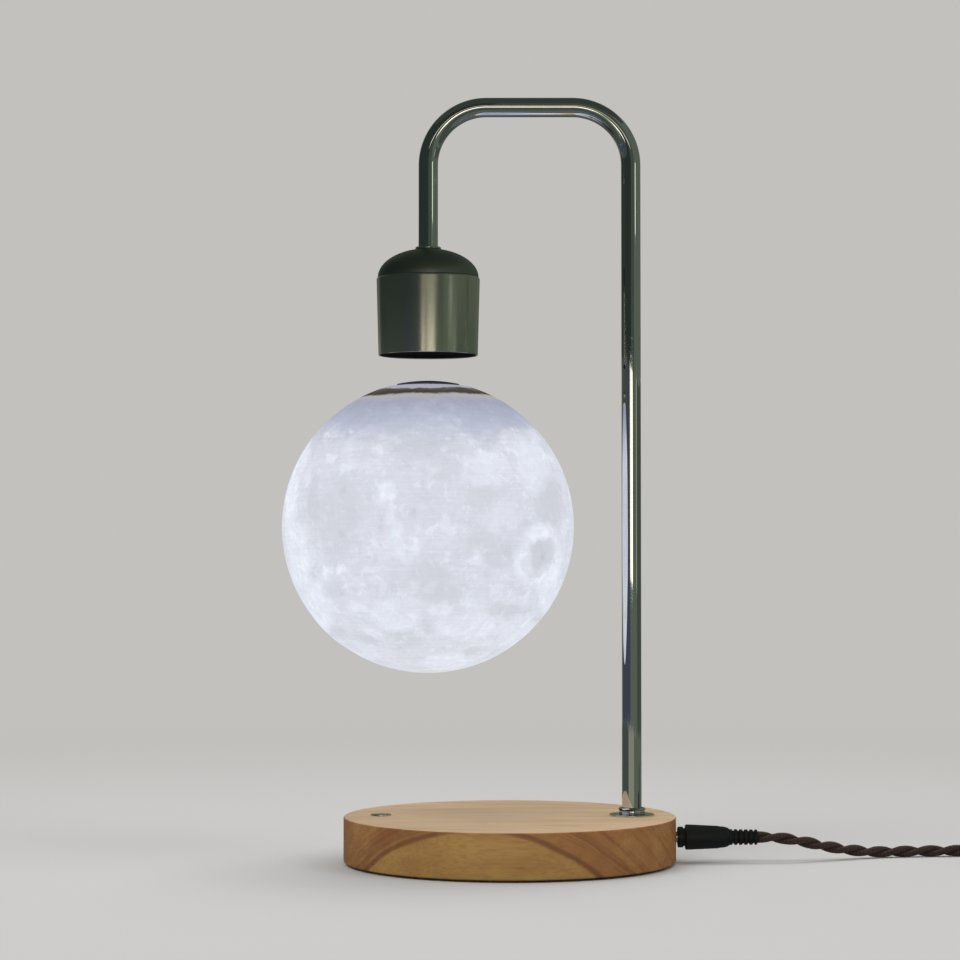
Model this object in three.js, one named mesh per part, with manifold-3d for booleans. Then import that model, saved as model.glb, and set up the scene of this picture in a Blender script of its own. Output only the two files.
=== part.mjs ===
// Levitating moon lamp: a glowing globe hangs in the air under the magnet of an arched arm,
// which stands on a round wooden base with a touch button and a power socket.
// Millimetres, +Z up. The origin is the middle of the base's underside on the table.
// +X points from the middle of the base to the arm's foot and the power cord.
import * as THREE from 'three';
import { mergeVertices } from 'three/addons/utils/BufferGeometryUtils.js';
import Module from 'manifold-3d';

const wasm = await Module();
wasm.setup();

// Fits shared by all pieces
const fit = 0.3;
const cutOverrun = 2;

// Wooden base
const baseRadius = 85;
const baseHeight = 24;
const baseEdgeRadius = 0.8;
const baseWall = 13;
const baseRoof = 8;
const coverThickness = 2;
const coverLedge = 4;
const padThickness = 1.1;
const padInset = 6;

// Screws of the base cover
const screwCount = 4;
const screwBossRadius = 6;
const screwHeadRadius = 3.2;
const screwHeadHeight = 1.8;
const screwShankRadius = 1.5;
const screwLength = 11;
const screwAccessRadius = 5;

// Control board under the roof of the base
const boardLength = 74;
const boardWidth = 52;
const boardThickness = 1.6;
const standoffHeight = 3;
const standoffRadius = 3;
const standoffInset = 6;
const capacitorRadius = 3.2;
const capacitorClearance = 1.7;
const inductorSize = 7;
const inductorClearance = 3.4;

// Touch button
const buttonInset = 19;
const buttonRadius = 5.4;
const buttonHeight = 0.8;
const buttonCrown = 0.3;
const buttonStemRadius = 2;
const springWireRadius = 0.3;
const springTurns = 4;

// Arched tube
const tubeRadius = 5;
const tubeWall = 1;
const footInset = 22.4;
const armReach = 104.5;
const archTop = 393.5;
const bendRadius = 30;
const loomSlack = 0.6;

// Fittings at the foot of the tube
const footWasherRadius = 11.6;
const footWasherThickness = 0.9;
const footCollarRadius = 7.1;
const footCollarHeight = 3.4;
const underWasherThickness = 1.2;
const nutAcrossFlats = 14;
const nutHeight = 4;
const tubeEndBelowNut = 2.5;

// Head at the end of the arm
const headDrop = 93.1;
const headCupHeight = 40.3;
const headCupBottomRadius = 25.6;
const headCupTopRadius = 26.6;
const headWall = 0.9;
const headCupEdge = 0.7;
const domeInset = 0.7;
const domeRise = 14.9;
const domeWall = 1;
const domeSkirt = 6;
const domeSeatRadius = 9;
const rosetteRadius = 6.7;
const rosetteHeight = 1.4;
const headCoverThickness = 1.6;
const headCoverRecess = 0.4;
const headCoverRim = 7;

// Electromagnet and sender coil inside the head
const sensorBoardThickness = 1.6;
const coreRadius = 6;
const coreLength = 29;
const bobbinWall = 1.2;
const bobbinRadius = 18;
const windingInset = 1;
const sendCoilInnerRadius = 13;
const sendCoilThickness = 2;
const ferriteThickness = 2;
const headBoardThickness = 1.6;
const coreScrewHeadRadius = 3.5;
const coreScrewHeadHeight = 2.4;
const coreScrewRadius = 2;
const coreScrewDepth = 8;

// Moon globe
const moonRadius = 75;
const moonWall = 2;
const levitationGap = 13.15;
const moonOpeningRadius = 21.5;
const moonSides = 56;
const moonRings = 30;
const moonInnerRings = 9;
const craterDepth = 0.8;
const lowlandDepth = 0.5;

// Floating magnet, receiver and lights in the globe's neck
const holderWall = 1.3;
const holderDepth = 11;
const lidEdge = 0.45;
const lidLand = 1.2;
const capRadius = 16;
const capRise = 1.9;
const capEdge = 0.7;
const floatMagnetRadius = 14;
const floatMagnetHeight = 6;
const receiveCoilWidth = 3.4;
const receiveCoilThickness = 2;
const receiverBoardThickness = 1.2;
const lightBoardThickness = 1.6;
const lightSize = 3.5;
const lightHeight = 1.2;
const lightCount = 4;

// Power socket and plug
const plugHeight = 13;
const jackRadius = 5.6;
const jackLength = 13.4;
const jackRecess = 0.5;
const jackPinRadius = 0.95;
const barrelRadius = 2.75;
const barrelWall = 1.45;
const barrelLength = 10.5;
const plugStandOff = 1;
const plugLength = 26.4;
const plugRadius = 6.45;
const plugTailRadius = 4.1;
const reliefLength = 14.4;
const reliefRibCount = 5;
const reliefGrooveDepth = 0.8;
const reliefEndRadius = 3.9;

// Power cord, a twisted pair in braid
const cordDiameter = 6;
const cordLength = 1500;
const coilTurns = 6;
const coilPitch = 6.6;
const coilStepsPerTurn = 24;
const coilSides = 6;
const tieThickness = 0.8;
const tieWidth = 10;
const tieClearance = 0.9;
const tailLength = 26;

// Wall adapter at the cord's far end
const adapterLength = 56;
const adapterWidth = 38;
const adapterHeight = 27;
const adapterCorner = 4;
const adapterEdge = 1.2;
const adapterFaceThickness = 8;
const adapterReliefLength = 18;
const adapterReliefRadius = 5.2;
const bladeLength = 17;
const bladeWidth = 6.3;
const bladeThickness = 1.5;
const bladeSpacing = 12.7;

// Shares of the sizes that they follow
const plugRingLengthShare = 0.106;
const plugRingRadiusShare = 0.82;
const plugNeckLengthShare = 0.045;
const plugNeckRadiusShare = 0.71;
const plugBodyLengthShare = 0.83;
const plugBodyEndRadiusShare = 0.84;
const screwCircleShare = 0.97;
const lightCircleShare = 0.62;

// Lunar places, as longitude from +X and latitude in degrees, and the radius as a share of the globe's
const craterDegreesAndShares = [
  [-39, -12, 0.135], [-118, 31, 0.14], [-74, -38, 0.13], [-60, 22, 0.09], [-142, -17, 0.12], [-98, -8, 0.08],
  [-20, 34, 0.12], [-128, -52, 0.15], [-52, -58, 0.12], [-160, 12, 0.1], [-84, 52, 0.11], [-10, -34, 0.14],
  [24, 8, 0.15], [52, -28, 0.17], [78, 30, 0.13], [104, -6, 0.16], [138, 36, 0.14], [150, -30, 0.15],
  [118, -58, 0.13], [38, 50, 0.12], [172, -4, 0.1], [70, -62, 0.14], [-170, 46, 0.13], [-165, -46, 0.12],
];
const lowlandDegreesAndShares = [
  [-100, 18, 0.42], [-62, 2, 0.36], [-132, 2, 0.34], [-88, -28, 0.3], [-30, 12, 0.28],
  [96, 24, 0.3], [150, 6, 0.26],
];

// Free stretch of the cord from the plug to the coil, chosen by hand
const cordRoute = [
  [127.1, 0, 13], [133, 0.2, 12.9], [139, 0.8, 12.4], [145, 1.9, 11.5], [151, 3.6, 10.3], [157, 5.8, 8.9],
  [163, 8.4, 7.5], [169, 11.2, 6.2], [175, 14, 5.1], [181, 16.7, 4.2], [187, 19.2, 3.5], [193, 21.3, 3.1],
  [200, 23.2, 3], [208, 24.8, 3], [217, 26, 3], [227, 27, 3], [238, 27.6, 3.1], [250, 28, 3.3],
  [262, 28, 3.6], [275, 28, 3.9], [288, 28, 4.1],
];

// Facets of round pieces
const largeSides = 60;
const mediumSides = 32;
const smallSides = 16;
const tinySides = 10;
const loomSides = 6;
const boreSides = 8;
const reliefSides = 12;
const springSides = 5;
const cordSides = 8;
const bendSteps = 8;

// Levels and places that follow from the sizes above
const woodBottom = padThickness;
const pocketRadius = baseRadius - baseWall;
const pocketTop = baseHeight - baseRoof;
const coverTop = woodBottom + coverThickness;
const screwCircleRadius = pocketRadius * screwCircleShare;
const boardTop = pocketTop - standoffHeight;
const boardBottom = boardTop - boardThickness;
const buttonX = buttonInset - baseRadius;
const tubeFootX = baseRadius - footInset;
const tubeHeadX = tubeFootX - armReach;
const archCentreTop = archTop - tubeRadius;
const headCupTop = archTop - headDrop;
const headBottom = headCupTop - headCupHeight;
const domeRadius = headCupTopRadius - domeInset;
const domeSeatHeight = ellipseHeight(domeSeatRadius, domeRadius - domeWall, domeRise - domeWall);
const domeSeatTop = headCupTop + domeSeatHeight;
const rosetteBottom = headCupTop + ellipseHeight(rosetteRadius, domeRadius, domeRise);
const headCoverBottom = headBottom + headCoverRecess;
const headCoverTop = headCoverBottom + headCoverThickness;
const headCoverRadius = headCupBottomRadius - headWall - fit;
const sendCoilOuterRadius = headCoverRadius - headCoverThickness - fit;
const coreBottom = headCoverTop + sensorBoardThickness;
const coreTop = coreBottom + coreLength;
const ferriteTop = headCoverTop + sendCoilThickness + ferriteThickness;
const moonRim = Math.sqrt(moonRadius ** 2 - moonOpeningRadius ** 2);
const holderRadius = moonOpeningRadius - fit - fit;
const holderTop = moonRim + holderWall;
const moonCentreHeight = headBottom - levitationGap - capRise - holderTop;
const plugFront = baseRadius + plugStandOff;
const plugEnd = plugFront + plugLength;
const coilLayerHeight = cordDiameter / 2 + tieThickness + fit;

// Height above its base of a quarter ellipse at a radius
function ellipseHeight(radius, halfWidth, rise) {
  return rise * Math.sqrt(1 - (radius / halfWidth) ** 2);
}

// Merge shared corners, drop flat triangles and turn the faces outwards
function closed(geometry) {
  const bare = new THREE.BufferGeometry();
  bare.setAttribute('position', geometry.getAttribute('position'));
  bare.setIndex(geometry.getIndex());
  const merged = mergeVertices(bare);
  const index = merged.getIndex().array;
  const kept = [];
  for (let i = 0; i < index.length; i += 3) {
    const corners = [index[i], index[i + 1], index[i + 2]];
    if (new Set(corners).size === 3) kept.push(...corners);
  }
  merged.setIndex(kept);
  if (volume(merged) < 0) merged.setIndex(kept.reverse());
  return merged;
}

// Volume inside the triangles, below zero where the faces point inwards
function volume(geometry) {
  const position = geometry.getAttribute('position');
  const index = geometry.getIndex().array;
  const [a, b, c] = [new THREE.Vector3(), new THREE.Vector3(), new THREE.Vector3()];
  let sum = 0;
  for (let i = 0; i < index.length; i += 3) {
    a.fromBufferAttribute(position, index[i]);
    b.fromBufferAttribute(position, index[i + 1]);
    c.fromBufferAttribute(position, index[i + 2]);
    sum += a.dot(b.cross(c)) / 6;
  }
  return sum;
}

// Turn a profile of [radius, height] points about Z
function revolve(profile, sides) {
  const points = profile.map(([radius, height]) => new THREE.Vector2(radius, height));
  if (profile[0][0] > 0) points.push(points[0].clone());
  return closed(new THREE.LatheGeometry(points, sides).rotateX(Math.PI / 2));
}

// Turn a profile of [radius, x] points about X
function revolveAlongX(profile, sides) {
  return revolve(profile, sides).rotateY(Math.PI / 2);
}

function disc(radius, bottom, top, sides) {
  return revolve([[0, bottom], [radius, bottom], [radius, top], [0, top]], sides);
}

function ring(innerRadius, outerRadius, bottom, top, sides) {
  const profile = [[innerRadius, bottom], [outerRadius, bottom], [outerRadius, top], [innerRadius, top]];
  return revolve(profile, sides);
}

function box(length, width, bottom, top) {
  return closed(new THREE.BoxGeometry(length, width, top - bottom).translate(0, 0, (top + bottom) / 2));
}

// Points of an arc from one angle to another, as [radius, height]
function arc(centreRadius, centreHeight, radiusAcross, radiusUp, from, to, steps) {
  const points = [];
  for (let i = 0; i <= steps; i++) {
    const angle = THREE.MathUtils.degToRad(THREE.MathUtils.lerp(from, to, i / steps));
    points.push([centreRadius + radiusAcross * Math.cos(angle), centreHeight + radiusUp * Math.sin(angle)]);
  }
  return points;
}

function toSolid(geometry) {
  const vertProperties = new Float32Array(geometry.getAttribute('position').array);
  const triVerts = new Uint32Array(geometry.getIndex().array);
  return new wasm.Manifold(new wasm.Mesh({ numProp: 3, vertProperties, triVerts }));
}

function cut(geometry, tools) {
  const solid = tools.reduce((left, tool) => left.subtract(toSolid(tool)), toSolid(geometry));
  const mesh = solid.getMesh();
  const result = new THREE.BufferGeometry();
  result.setAttribute('position', new THREE.BufferAttribute(mesh.vertProperties, mesh.numProp));
  result.setIndex(new THREE.BufferAttribute(mesh.triVerts, 1));
  return result;
}

// Sweep a round section along points, with every section square to the way
function sweep(points, radius, sides) {
  const positions = [];
  const index = [];
  const up = new THREE.Vector3(0, 0, 1);
  points.forEach((point, i) => {
    const ahead = points[Math.min(i + 1, points.length - 1)];
    const behind = points[Math.max(i - 1, 0)];
    const way = ahead.clone().sub(behind).normalize();
    const across = way.clone().cross(up).normalize();
    const rise = across.clone().cross(way);
    for (let k = 0; k < sides; k++) {
      const angle = (k / sides) * Math.PI * 2;
      const out = across.clone().multiplyScalar(Math.cos(angle)).addScaledVector(rise, Math.sin(angle));
      positions.push(...point.clone().addScaledVector(out, radius));
    }
  });
  for (let i = 0; i < points.length - 1; i++) {
    for (let k = 0; k < sides; k++) {
      const [a, b] = [i * sides + k, i * sides + ((k + 1) % sides)];
      index.push(a, b, b + sides, a, b + sides, a + sides);
    }
  }
  const last = (points.length - 1) * sides;
  for (let k = 1; k < sides - 1; k++) {
    index.push(0, k + 1, k, last, last + k, last + k + 1);
  }
  const geometry = new THREE.BufferGeometry();
  geometry.setAttribute('position', new THREE.Float32BufferAttribute(positions, 3));
  geometry.setIndex(index);
  return closed(geometry);
}

const finishes = {
  oiledWood: new THREE.MeshStandardMaterial({ color: '#b98a55', roughness: 0.55, metalness: 0 }),
  blackFibreboard: new THREE.MeshStandardMaterial({ color: '#2a2826', roughness: 0.8, metalness: 0 }),
  foamPad: new THREE.MeshStandardMaterial({ color: '#202020', roughness: 0.95, metalness: 0 }),
  zincSteel: new THREE.MeshStandardMaterial({ color: '#b4b4ac', roughness: 0.35, metalness: 1 }),
  polishedChrome: new THREE.MeshStandardMaterial({ color: '#d8dbdc', roughness: 0.08, metalness: 1 }),
  brushedNickel: new THREE.MeshStandardMaterial({ color: '#a9a895', roughness: 0.32, metalness: 1 }),
  blackPlastic: new THREE.MeshStandardMaterial({ color: '#161617', roughness: 0.5, metalness: 0 }),
  whitePlastic: new THREE.MeshStandardMaterial({ color: '#d9dbdc', roughness: 0.4, metalness: 0 }),
  circuitBoard: new THREE.MeshStandardMaterial({ color: '#1f5a3a', roughness: 0.5, metalness: 0 }),
  copperWire: new THREE.MeshStandardMaterial({ color: '#b56a3a', roughness: 0.4, metalness: 1 }),
  ferrite: new THREE.MeshStandardMaterial({ color: '#3a3a3c', roughness: 0.6, metalness: 0.3 }),
  moonResin: new THREE.MeshStandardMaterial({ color: '#e4e8f2', roughness: 0.7, metalness: 0 }),
  brownBraid: new THREE.MeshStandardMaterial({ color: '#5a3a2c', roughness: 0.85, metalness: 0 }),
  blackPvc: new THREE.MeshStandardMaterial({ color: '#1b1b1c', roughness: 0.6, metalness: 0 }),
};

function piece(parent, name, geometry, finish) {
  const mesh = new THREE.Mesh(geometry, finish);
  mesh.name = name;
  parent.add(mesh);
  return mesh;
}

function group(parent, x, y, z) {
  const place = new THREE.Group();
  place.position.set(x, y, z);
  parent.add(place);
  return place;
}

// Places of the cover screws on their circle, between the X and Y axes
function screwPlaces() {
  return Array.from({ length: screwCount }, (_, i) => {
    const angle = ((i + 0.5) / screwCount) * Math.PI * 2;
    return [screwCircleRadius * Math.cos(angle), screwCircleRadius * Math.sin(angle)];
  });
}

// Disc with eased edges, a pocket from below with four screw bosses, and holes for all that passes
function woodenBase() {
  const edge = baseEdgeRadius;
  const blank = revolve([
    [0, woodBottom],
    [baseRadius - edge, woodBottom],
    [baseRadius, woodBottom + edge],
    ...arc(baseRadius - edge, baseHeight - edge, edge, edge, 0, 90, 2),
    [0, baseHeight],
  ], largeSides);
  const bossTops = screwPlaces().map(([x, y]) =>
    disc(screwBossRadius, woodBottom, pocketTop + cutOverrun, tinySides).translate(x, y, 0));
  const pocket = cut(disc(pocketRadius, woodBottom - cutOverrun, pocketTop, largeSides), bossTops);
  const rebate = disc(pocketRadius + coverLedge, woodBottom - cutOverrun, coverTop, largeSides);
  const tubeHole = disc(tubeRadius + fit, pocketTop - cutOverrun, baseHeight + cutOverrun, smallSides);
  const stemHole = disc(buttonStemRadius + fit, pocketTop - cutOverrun, baseHeight + cutOverrun, smallSides);
  const [boreStart, boreEnd] = [pocketRadius - cutOverrun, baseRadius + cutOverrun];
  const jackBore = disc(jackRadius + fit, boreStart, boreEnd, smallSides).rotateY(Math.PI / 2);
  const screwTip = woodBottom + screwLength + fit;
  const screwHoles = screwPlaces().map(([x, y]) =>
    disc(screwShankRadius + fit, woodBottom - cutOverrun, screwTip, tinySides).translate(x, y, 0));
  return cut(blank, [
    pocket,
    rebate,
    tubeHole.translate(tubeFootX, 0, 0),
    stemHole.translate(buttonX, 0, 0),
    jackBore.translate(0, 0, plugHeight),
    ...screwHoles,
  ]);
}

// Thin board let into the rebate, with countersunk holes
function baseCover() {
  const sinks = screwPlaces().map(([x, y]) => revolve([
    [0, woodBottom - cutOverrun],
    [screwHeadRadius + fit, woodBottom - cutOverrun],
    [screwHeadRadius + fit, woodBottom + fit],
    [screwShankRadius + fit, woodBottom + screwHeadHeight],
    [screwShankRadius + fit, coverTop + cutOverrun],
    [0, coverTop + cutOverrun],
  ], tinySides).translate(x, y, 0));
  return cut(disc(pocketRadius + coverLedge - fit, woodBottom, coverTop, largeSides), sinks);
}

function basePad() {
  const holes = screwPlaces().map(([x, y]) =>
    disc(screwAccessRadius, -cutOverrun, padThickness + cutOverrun, tinySides).translate(x, y, 0));
  return cut(disc(baseRadius - padInset, 0, padThickness, largeSides), holes);
}

function coverScrew() {
  return revolve([
    [0, woodBottom],
    [screwHeadRadius, woodBottom],
    [screwShankRadius, woodBottom + screwHeadHeight - fit],
    [screwShankRadius, woodBottom + screwLength - screwShankRadius],
    [0, woodBottom + screwLength],
  ], tinySides);
}

function addBaseShell(lamp) {
  piece(lamp, 'wooden_base', woodenBase(), finishes.oiledWood);
  piece(lamp, 'base_cover', baseCover(), finishes.blackFibreboard);
  piece(lamp, 'base_pad', basePad(), finishes.foamPad);
  screwPlaces().forEach(([x, y], i) => {
    piece(group(lamp, x, y, 0), `cover_screw_${i + 1}`, coverScrew(), finishes.zincSteel);
  });
}

function addControlBoard(lamp) {
  const board = group(lamp, 0, 0, 0);
  const cornerX = boardLength / 2 - standoffInset;
  const cornerY = boardWidth / 2 - standoffInset;
  const corners = [[cornerX, cornerY], [-cornerX, cornerY], [0, -cornerY]];
  piece(board, 'control_board', box(boardLength, boardWidth, boardBottom, boardTop), finishes.circuitBoard);
  corners.forEach(([x, y], i) => {
    const post = disc(standoffRadius, boardTop, pocketTop, tinySides);
    piece(group(board, x, y, 0), `board_standoff_${i + 1}`, post, finishes.whitePlastic);
  });
  const capacitor = disc(capacitorRadius, coverTop + capacitorClearance, boardBottom, smallSides);
  piece(group(board, cornerX, 0, 0), 'board_capacitor', capacitor, finishes.zincSteel);
  const inductor = box(inductorSize, inductorSize, coverTop + inductorClearance, boardBottom);
  piece(group(board, cornerX / 2, 0, 0), 'board_inductor', inductor, finishes.ferrite);
}

// Touch disc with a low crown and a stem through the roof, met below by a wire spring
function addTouchButton(lamp) {
  const place = group(lamp, buttonX, 0, 0);
  const rim = baseHeight + buttonHeight;
  const stemEnd = pocketTop - fit;
  const button = revolve([
    [0, stemEnd],
    [buttonStemRadius, stemEnd],
    [buttonStemRadius, baseHeight],
    [buttonRadius, baseHeight],
    [buttonRadius, rim - buttonCrown],
    [buttonRadius - buttonCrown, rim],
    [buttonRadius / 2, rim + buttonCrown * 0.75],
    [0, rim + buttonCrown],
  ], mediumSides);
  piece(place, 'touch_button', button, finishes.polishedChrome);
  piece(place, 'touch_spring', touchSpring(stemEnd - fit), finishes.zincSteel);
}

// Open wire spring from the cover up to the button's stem
function touchSpring(top) {
  const bottom = coverTop + springWireRadius + fit;
  const height = top - springWireRadius - bottom;
  const steps = springTurns * 8;
  const points = [];
  for (let i = 0; i <= steps; i++) {
    const share = i / steps;
    const angle = share * springTurns * Math.PI * 2;
    const x = buttonStemRadius * Math.cos(angle);
    const y = buttonStemRadius * Math.sin(angle);
    points.push(new THREE.Vector3(x, y, bottom + height * share));
  }
  return sweep(points, springWireRadius, springSides);
}

// Centre line of the arched tube: leg, bend, bar, bend, leg. Each bend takes even steps,
// and each straight run takes one.
class ArchPath extends THREE.Curve {
  constructor(startHeight, endHeight) {
    super();
    const left = tubeHeadX + bendRadius;
    const right = tubeFootX - bendRadius;
    const spring = archCentreTop - bendRadius;
    this.points = [new THREE.Vector3(tubeHeadX, 0, startHeight)];
    this.addBend(left, spring, 180, 90);
    this.addBend(right, spring, 90, 0);
    this.points.push(new THREE.Vector3(tubeFootX, 0, endHeight));
  }

  addBend(centreX, centreZ, from, to) {
    for (const [x, z] of arc(centreX, centreZ, bendRadius, bendRadius, from, to, bendSteps)) {
      this.points.push(new THREE.Vector3(x, 0, z));
    }
  }

  get steps() {
    return this.points.length - 1;
  }

  getPoint(share, target = new THREE.Vector3()) {
    const place = share * this.steps;
    const i = Math.min(Math.floor(place), this.steps - 1);
    return target.lerpVectors(this.points[i], this.points[i + 1], place - i);
  }

  getPointAt(share, target) {
    return this.getPoint(share, target);
  }

  getTangentAt(share, target = new THREE.Vector3()) {
    const i = Math.round(share * this.steps);
    const ahead = this.points[Math.min(i + 1, this.steps)];
    const behind = this.points[Math.max(i - 1, 0)];
    const [to, from] = [ahead.clone().sub(this.points[i]), this.points[i].clone().sub(behind)];
    return target.copy(to.normalize()).add(from.normalize()).normalize();
  }
}

// Round section, hollow where it has a bore
function roundSection(radius, bore, sides) {
  const corners = (size, count) => Array.from({ length: count }, (_, i) => {
    const angle = (i / count) * Math.PI * 2;
    return new THREE.Vector2(size * Math.cos(angle), size * Math.sin(angle));
  });
  const shape = new THREE.Shape(corners(radius, sides));
  if (bore > 0) shape.holes.push(new THREE.Path(corners(bore, boreSides)));
  return shape;
}

function alongArch(radius, bore, startHeight, endHeight, sides) {
  const path = new ArchPath(startHeight, endHeight);
  const options = { steps: path.steps, extrudePath: path };
  return closed(new THREE.ExtrudeGeometry(roundSection(radius, bore, sides), options));
}

function hexNut(bottom, sides) {
  const corner = nutAcrossFlats / Math.sqrt(3);
  const outline = Array.from({ length: 6 }, (_, i) => {
    const angle = (i / 6) * Math.PI * 2;
    return new THREE.Vector2(corner * Math.cos(angle), corner * Math.sin(angle));
  });
  const shape = new THREE.Shape(outline);
  shape.holes.push(new THREE.Path(roundSection(tubeRadius + fit, 0, sides).getPoints()));
  const nut = new THREE.ExtrudeGeometry(shape, { depth: nutHeight, bevelEnabled: false, steps: 1 });
  return closed(nut).translate(0, 0, bottom);
}

// Low ring with a rounded outer edge
function roundedRing(innerRadius, outerRadius, bottom, height, sides) {
  const top = bottom + height;
  const edge = Math.min(height, outerRadius - innerRadius) / 2;
  return revolve([
    [innerRadius, bottom],
    [outerRadius, bottom],
    ...arc(outerRadius - edge, top - edge, edge, edge, 0, 90, 2),
    [innerRadius, top],
  ], sides);
}

function addArm(lamp) {
  const washerTop = baseHeight + footWasherThickness;
  const nutBottom = pocketTop - underWasherThickness - nutHeight;
  const tubeFoot = nutBottom - tubeEndBelowNut;
  const tubeHead = domeSeatTop - nutHeight - tubeEndBelowNut;
  const bore = tubeRadius - tubeWall;
  const tube = alongArch(tubeRadius, bore, tubeHead, tubeFoot, smallSides);
  piece(lamp, 'arched_tube', tube, finishes.polishedChrome);
  const loom = alongArch(bore - loomSlack, 0, tubeHead, tubeFoot, loomSides);
  piece(lamp, 'wiring_loom', loom, finishes.blackPvc);
  const foot = group(lamp, tubeFootX, 0, 0);
  const hole = tubeRadius + fit;
  const washer = roundedRing(hole, footWasherRadius, baseHeight, footWasherThickness, mediumSides);
  piece(foot, 'foot_washer', washer, finishes.polishedChrome);
  const collar = roundedRing(hole, footCollarRadius, washerTop, footCollarHeight, mediumSides);
  piece(foot, 'foot_collar', collar, finishes.polishedChrome);
  const underWasher = ring(hole, nutAcrossFlats / 2, pocketTop - underWasherThickness, pocketTop, smallSides);
  piece(foot, 'under_washer', underWasher, finishes.zincSteel);
  piece(foot, 'foot_nut', hexNut(nutBottom, smallSides), finishes.zincSteel);
}

// Domed cap of the head, with a skirt inside the cup and a flat seat for the nut
function headDome() {
  const skirtOuter = headCupTopRadius - headWall - fit;
  const skirtInner = skirtOuter - domeWall;
  const rosetteAngle = THREE.MathUtils.radToDeg(Math.acos(rosetteRadius / domeRadius));
  const outerArc = arc(0, headCupTop, domeRadius, domeRise, 0, rosetteAngle, 7);
  const innerRadius = domeRadius - domeWall - fit;
  const innerArc = arc(0, headCupTop, innerRadius, domeRise - domeWall, 60, 0, 3);
  return revolve([
    [skirtInner, headCupTop - domeSkirt],
    [skirtOuter, headCupTop - domeSkirt],
    [skirtOuter, headCupTop],
    ...outerArc,
    [tubeRadius + fit, rosetteBottom],
    [tubeRadius + fit, domeSeatTop],
    [domeSeatRadius, domeSeatTop],
    ...innerArc,
  ], mediumSides);
}

// Spun cup, a little wider at the top, open below
function headShell() {
  const edge = headCupEdge;
  const top = headCupTop;
  return revolve([
    [headCupBottomRadius - headWall, headBottom],
    [headCupBottomRadius, headBottom],
    [headCupTopRadius, top - edge],
    [headCupTopRadius - edge, top],
    [headCupTopRadius - headWall, top],
  ], largeSides);
}

// Black cup that closes the head from below
function headCover() {
  return revolve([
    [0, headCoverBottom],
    [headCoverRadius, headCoverBottom],
    [headCoverRadius, headCoverBottom + headCoverRim],
    [headCoverRadius - headCoverThickness, headCoverBottom + headCoverRim],
    [headCoverRadius - headCoverThickness, headCoverTop],
    [0, headCoverTop],
  ], mediumSides);
}

// Spool of the electromagnet: a hub between two flanges
function coilBobbin(bottom, top) {
  const bore = coreRadius + fit;
  const hub = bore + bobbinWall;
  return revolve([
    [bore, bottom],
    [bobbinRadius, bottom],
    [bobbinRadius, bottom + bobbinWall],
    [hub, bottom + bobbinWall],
    [hub, top - bobbinWall],
    [bobbinRadius, top - bobbinWall],
    [bobbinRadius, top],
    [bore, top],
  ], smallSides);
}

function addElectromagnet(head) {
  const boardTopHeight = headCupTop - domeSkirt;
  const boardHeight = boardTopHeight - headBoardThickness;
  const bobbinTop = coreTop - bobbinWall;
  const hub = coreRadius + fit + bobbinWall;
  const sensor = disc(coreRadius, headCoverTop, coreBottom, smallSides);
  piece(head, 'sensor_board', sensor, finishes.circuitBoard);
  const senderTop = headCoverTop + sendCoilThickness;
  const sender = ring(sendCoilInnerRadius, sendCoilOuterRadius, headCoverTop, senderTop, smallSides);
  piece(head, 'sender_coil', sender, finishes.copperWire);
  const shield = ring(sendCoilInnerRadius, sendCoilOuterRadius, senderTop, ferriteTop, smallSides);
  piece(head, 'ferrite_ring', shield, finishes.ferrite);
  const screwHole = coreScrewRadius + fit;
  const core = revolve([
    [0, coreBottom],
    [coreRadius, coreBottom],
    [coreRadius, coreTop],
    [screwHole, coreTop],
    [screwHole, coreTop - coreScrewDepth],
    [0, coreTop - coreScrewDepth],
  ], smallSides);
  piece(head, 'magnet_core', core, finishes.zincSteel);
  piece(head, 'coil_bobbin', coilBobbin(ferriteTop, bobbinTop), finishes.blackPlastic);
  const [windingBottom, windingTop] = [ferriteTop + bobbinWall, bobbinTop - bobbinWall];
  const winding = ring(hub + fit, bobbinRadius - windingInset, windingBottom, windingTop, smallSides);
  piece(head, 'magnet_winding', winding, finishes.copperWire);
  const boardRadius = headCupTopRadius - headWall - domeWall;
  const board = ring(screwHole, boardRadius, boardHeight, boardTopHeight, smallSides);
  piece(head, 'head_board', board, finishes.circuitBoard);
  const screw = revolve([
    [0, coreTop - coreScrewDepth + fit],
    [coreScrewRadius, coreTop - coreScrewDepth + fit],
    [coreScrewRadius, boardTopHeight],
    [coreScrewHeadRadius, boardTopHeight],
    [coreScrewHeadRadius, boardTopHeight + coreScrewHeadHeight],
    [0, boardTopHeight + coreScrewHeadHeight],
  ], tinySides);
  piece(head, 'core_screw', screw, finishes.zincSteel);
}

function addHead(lamp) {
  const head = group(lamp, tubeHeadX, 0, 0);
  const rosette = roundedRing(tubeRadius + fit, rosetteRadius, rosetteBottom, rosetteHeight, smallSides);
  piece(head, 'tube_rosette', rosette, finishes.polishedChrome);
  piece(head, 'head_nut', hexNut(domeSeatTop - nutHeight, smallSides), finishes.zincSteel);
  piece(head, 'head_dome', headDome(), finishes.brushedNickel);
  piece(head, 'head_shell', headShell(), finishes.brushedNickel);
  piece(head, 'head_cover', headCover(), finishes.blackPlastic);
  addElectromagnet(head);
}

// Unit vector of a place on the globe
function lunarPlace(longitude, latitude) {
  const [east, north] = [THREE.MathUtils.degToRad(longitude), THREE.MathUtils.degToRad(latitude)];
  const outward = Math.cos(north);
  return new THREE.Vector3(outward * Math.cos(east), outward * Math.sin(east), Math.sin(north));
}

function lunarFeature([east, north, share]) {
  return { at: lunarPlace(east, north), share };
}

const craters = craterDegreesAndShares.map(lunarFeature);
const lowlands = lowlandDegreesAndShares.map(lunarFeature);

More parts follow.
